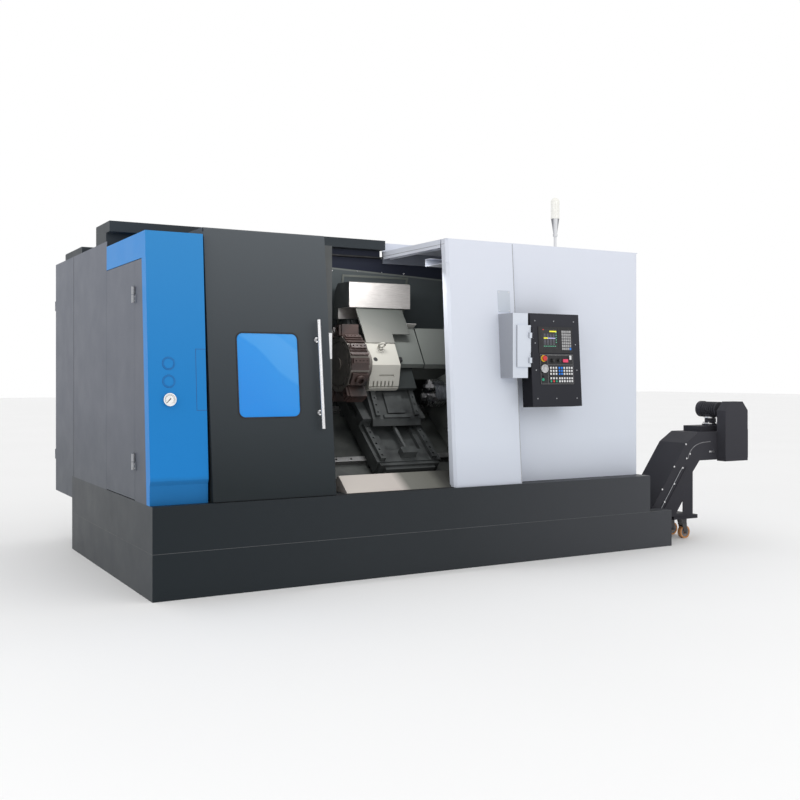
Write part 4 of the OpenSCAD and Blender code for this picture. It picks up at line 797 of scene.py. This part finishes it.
bm = bmesh.new()
add_block(bm, wedge, SHROUD_X0, SHROUD_X1, 404, 729.8, 112.05, 112.8, 0.2)
add_block(bm, lip, SHROUD_X0, SHROUD_X1, -0.3, LIP_L - 0.2, 0.05, 0.8, 0.2)
piece("shroud_skin", bm, "way", "wedge")
LEAF_X0 = 1784.2
bm = bmesh.new()
add_block(bm, wedge, LEAF_X0, 2181.8, 700.2, 871.8, 178.05, 178.3, 0.1)
piece("upper_leaf_skin", bm, "leaf", "wedge")
bm = bmesh.new()
outline = [
    (800.2, 1873.8), (800.2, 2055), (808, 2063), (999.6, 2063),
    (1055.4, 1993), (1055.4, 1794.3), (988.2, 1794.3), (988.2, 1873.8),
]
loops = [[bm.verts.new(at(x, y, z)) for y, z in outline] for x in (1719.2, 1719.9)]
bridge(bm, *loops)
for loop in loops:
    bm.faces.new(loop)
piece("drive_cover_side", bm, "cast", "wedge")

# Polished strip on the edge of the headstock panel
HEAD_PANEL_Y = 290
bm = bmesh.new()
add_block(bm, front(HEAD_PANEL_Y), 1299, 1329, 1473, 1651, 0.05, 2.0, 0.6)
piece("polished_strip", bm, "handle", "frame")

# Back wall: trim of the raised field and screws
bm = bmesh.new()
outer = [(1832, 380), (2425, 380), (2425, 775), (1832, 775)]
inner = [(1848, 396), (2409, 396), (2409, 759), (1848, 759)]
add_ring(bm, BACK, outer, inner, 0.1, 9)
piece("back_trim", bm, "trim", "frame")
bm = bmesh.new()
for x, v in [(1742, 800), (1735, 700), (1735, 610), (1740, 520), (1960, 805), (2180, 805), (2380, 805)]:
    add_turned(bm, BACK, x, v, [(5.5, 0.1), (5.5, 2.0), (3.5, 3.4)], 16)
piece("back_screws", bm, "screw", "frame")

# Turret housing: skin of the lowest leaf, plug on the right side, port on the top
LEAF_X1 = 2025.8
bm = bmesh.new()
add_block(bm, wedge, LEAF_X0, LEAF_X1, 541.2, 699.8, 190.85, 191.6, 0.2)
add_block(bm, wedge, LEAF_X0, LEAF_X1, 540.2, 541.0, 184.9, 191.6, 0.2)
piece("leaf_skin", bm, "leaf", "turret_slide")
bm = bmesh.new()
add_block(bm, wedge, 2026.1, 2078, 408, 442, 115, 152, 4)
add_block(bm, wedge, 2026.1, 2040, 402, 448, 113.6, 158, 2)
piece("housing_plug", bm, "black", "turret_slide")
bm = bmesh.new()
add_turned(bm, wedge, 1827, 400, [(11.2, 184.0), (17.0, 184.0), (17.0, 185.6), (15.4, 186.4), (11.2, 186.4)])
piece("housing_port", bm, "black", "turret_slide")

# Door window: rubber edging
bm = bmesh.new()
add_ring(bm, DOOR, rounded(568, 1003, 513, 1070, 48), rounded(577, 994, 522, 1061, 40), 0.1, 2.2)
piece("window_edging", bm, "seam", "sliding_door")

# Chip conveyor: bright bolt heads, curved rib, wheel hubs
RIB_HALF = 4
WHEEL_Z = 52.5
bm = bmesh.new()
bolts = [(4250 + i * 132, 431 + i * 180) for i in range(3)]
bolts += [(4220 + x, 45 + z) for x, z in [(55, 282), (163, 425), (258, 552), (301, 628), (340, 665)]]
for x, z in bolts:
    add_turned(bm, front(155), x, z, [(7.8, -1.0), (7.8, 0.6), (6.4, 1.8), (3.5, 2.2)], 16)
piece("conveyor_bolt_heads", bm, "screw", "frame")
bm = bmesh.new()
arc = [(4539, 669), (4552, 706), (4576, 741), (4602, 763), (4631, 779), (4668, 791), (4705, 799), (4798, 804)]
section = ((-1, 160.3), (-0.6, 157), (0.6, 157), (1, 160.3))
rows = []
for i, (x, z) in enumerate(arc):
    (xa, za), (xb, zb) = arc[max(i - 1, 0)], arc[min(i + 1, len(arc) - 1)]
    step = math.hypot(xb - xa, zb - za)
    nx = -(zb - za) / step * RIB_HALF
    nz = (xb - xa) / step * RIB_HALF
    rows.append([bm.verts.new(at(x + nx * q, y, z + nz * q)) for q, y in section])
for a, b in zip(rows, rows[1:]):
    bridge(bm, a, b)
bm.faces.new(rows[0])
bm.faces.new(rows[-1])
piece("conveyor_rib", bm, "hub", "frame")
hub = [(20.2, 10.5), (40.2, 10.5), (40.2, 13.0), (37.5, 15.0), (23.0, 13.4), (20.2, 15.0)]
for tag, cx, cy in [("front", 4573, 242), ("rear", 4628, 440)]:
    bm = bmesh.new()
    for sign in (-1, 1):
        add_turned(bm, lambda x, v, w: at(x, cy + sign * w, v), cx, WHEEL_Z, hub, 32)
    piece("caster_hub_" + tag, bm, "hub", "caster_wheel_" + tag, False)

# Control swivel: dark sleeves over the fixed knuckles
SWIVEL_X = 2745
SWIVEL_Y = -97
bm = bmesh.new()
for z in (1450, 1630):
    sleeve = [(9.05, z + 0.1), (9.7, z + 0.6), (9.7, z + 37.4), (9.05, z + 37.9)]
    add_turned(bm, at, SWIVEL_X, SWIVEL_Y, sleeve, 24)
    add_block(bm, front(-104.05), 2737.4, SWIVEL_X, z + 0.1, z + 37.9, 0.0, 0.7, 0.1)
piece("swivel_sleeves", bm, "control", "frame")

# Rear: grilles and main switch on the cabinet doors, panel joints with screws


def rear(y0):
    """Upright face at one depth that looks to the back."""
    return lambda x, v, w: at(x, y0 + w, v)


DOOR_BACK = rear(2875.4)
GRILLE_W = 360
GRILLE_H = 260
RIM = 22
SLATS = 9
for body, x0 in (("cabinet_door_left", 300), ("cabinet_door_right", CABINET_L - 660)):
    x1 = x0 + GRILLE_W
    for tag, v0 in (("low", 760), ("top", 1900)):
        v1 = v0 + GRILLE_H
        bm = bmesh.new()
        outer = rounded(x0, x1, v0, v1, 14)
        inner = rounded(x0 + RIM, x1 - RIM, v0 + RIM, v1 - RIM, 6)
        add_ring(bm, DOOR_BACK, outer, inner, 0.1, 9)
        for i in range(SLATS):
            v = v0 + 30 + 23 * i
            slat = lambda x, q, w: DOOR_BACK(x, v + q * 0.82 - w * 0.57, 0.6 + q * 0.3 + w * 0.82)
            add_block(bm, slat, x0 + 20, x1 - 20, 0, 20, 0, 1.6, 0.3)
        piece(body + "_grille_" + tag, bm, "dark", body)
bm = bmesh.new()
add_block(bm, DOOR_BACK, 1180, 1260, 1560, 1640, 0.1, 5, 2)
add_turned(bm, DOOR_BACK, 1220, 1600, [(27, 4.8), (27, 14), (22, 17)])
piece("main_switch_plate", bm, "yellow", "cabinet_door_right")
bm = bmesh.new()
add_block(bm, DOOR_BACK, 1211, 1229, 1574, 1626, 16, 32, 4)
piece("main_switch_lever", bm, "red", "cabinet_door_right")
REAR = rear(2161)
bm = bmesh.new()
heads = bmesh.new()
for x in (2480, 2960, 3440):
    add_block(bm, REAR, x - 1.5, x + 1.5, 580, 2278, -0.4, 0.5, 0.1)
    for dx in (-18, 18):
        for v in range(640, 2260, 265):
            add_turned(heads, REAR, x + dx, v, [(5.5, -0.2), (5.5, 1.8), (3.6, 3.0)], 16)
piece("rear_joints", bm, "seam", "frame")
piece("rear_screws", heads, "screw", "frame")

# Flange and collar of the gear motor, latch of the conveyor, and a light edge strip on its casing that is a
# painted highlight
MOTOR_X = 4998
MOTOR_Y = 350
BOLT_CIRCLE = 60
flange = [(48.2, 943.1), (69, 943.1), (69, 949), (66, 952), (48.2, 952)]
collar = [(48.2, 990), (55, 990), (57, 993), (57, 1001), (55, 1004), (48.2, 1004)]
bm = bmesh.new()
add_turned(bm, at, MOTOR_X, MOTOR_Y, flange, 40)
add_turned(bm, at, MOTOR_X, MOTOR_Y, collar, 40)
for i in range(6):
    a = math.radians(30 + 60 * i)
    x = MOTOR_X + BOLT_CIRCLE * math.cos(a)
    y = MOTOR_Y + BOLT_CIRCLE * math.sin(a)
    add_turned(bm, at, x, y, [(6.5, 951.5), (6.5, 958), (5, 960)], 6)
piece("motor_flange", bm, "screw", "frame")
bm = bmesh.new()
add_block(bm, front(160), 4782, 4842, 712, 729, -0.5, 5, 1.5)
add_block(bm, front(160), 4790, 4812, 715, 726, 4.5, 12, 2)
piece("conveyor_latch", bm, "screw", "frame")
# Run and rise of the slanting part of the casing
RUN = 256
RISE = 355
SLANT_L = math.hypot(RUN, RISE)


def edge(t, q, w):
    """Front of the casing along its slanting edge."""
    return at(4216 + (RUN * t - RISE * q) / SLANT_L, 154.9 - w, 249 + (RISE * t + RUN * q) / SLANT_L)


# Light strip along the slanting edge of the casing: painted highlight
bm = bmesh.new()
add_block(bm, edge, 8, SLANT_L, -2.2, 2.2, -0.5, 1.6, 0.6)
piece("conveyor_edge_painted_highlight", bm, "strip", "frame")

# Bell at the foot of the signal lamp
bm = bmesh.new()
bell = [(12.2, 2350.2), (37, 2350.2), (38, 2356), (34, 2372), (26, 2388), (18, 2400), (12.2, 2404)]
add_turned(bm, at, 3508, 610, bell, 40)
piece("lamp_bell", bm, "lamp_metal", "frame", True)

# Joint line round the front and the left side of the tank, drawn lighter than the base as a painted highlight
JOINT_Z0 = 283.4
JOINT_Z1 = 286.6
bm = bmesh.new()
add_block(bm, front(0), 0, 4196, JOINT_Z0, JOINT_Z1, -0.5, 0.6, 0.2)
add_block(bm, at, -0.6, 0.5, 0, 2216, JOINT_Z0, JOINT_Z1, 0.2)
piece("base_joint_painted_highlight", bm, "joint_highlight_paint", "frame")

# Stage, light and camera
HALF = 60
floor_mesh = bpy.data.meshes.new("floor")
corners = [(-HALF, -HALF, 0), (HALF, -HALF, 0), (HALF, HALF, 0), (-HALF, HALF, 0)]
floor_mesh.from_pydata(corners, [], [(0, 1, 2, 3)])
floor = bpy.data.objects.new("floor", floor_mesh)
bpy.context.scene.collection.objects.link(floor)
n = Nodes("floor_pale")
pale = n.ramp(n.noise(0.4, 2.0), [(0, (0.86, 0.86, 0.86)), (1, (0.9, 0.9, 0.9))])
n.link(pale, n.bsdf.inputs["Base Color"])
floor_mesh.materials.append(n.set(Roughness=0.7))

world = bpy.data.worlds.new("studio")
bpy.context.scene.world = world
world.use_nodes = True
world.node_tree.nodes["Background"].inputs["Color"].default_value = (1.0, 1.0, 1.0, 1)
world.node_tree.nodes["Background"].inputs["Strength"].default_value = 1.0


def area(name, place, target, size, power):
    """Rectangular light that looks at a target and isn't seen itself."""
    light = bpy.data.lights.new(name, "AREA")
    light.shape = "RECTANGLE"
    light.size, light.size_y = size
    light.energy = power
    obj = bpy.data.objects.new(name, light)
    obj.location = place
    obj.visible_camera = False
    obj.rotation_euler = (Vector(target) - Vector(place)).to_track_quat("-Z", "Y").to_euler()
    bpy.context.scene.collection.objects.link(obj)


area("key", (-8.0, -4.0, 5.0), (0, 0, 1.2), (5, 4), 80)
area("front", (1.0, -9.0, 4.5), (0.4, 0, 1.2), (6, 4), 70)
area("chamber", (-0.36, -0.8, 2.16), (-0.36, -0.4, 1.2), (0.7, 0.12), 6.5)

camera = bpy.data.cameras.new("camera")
camera.sensor_width = 36.0
camera.lens = 46.17
camera.shift_y = -0.03
camera_obj = bpy.data.objects.new("camera", camera)
camera_obj.location = (-3.842, -7.171, 1.356)
camera_obj.rotation_euler = Vector((0.494, 0.8695, 0.0)).to_track_quat("-Z", "Y").to_euler()
bpy.context.scene.collection.objects.link(camera_obj)
bpy.context.scene.camera = camera_obj
bpy.context.scene.view_settings.view_transform = "Standard"
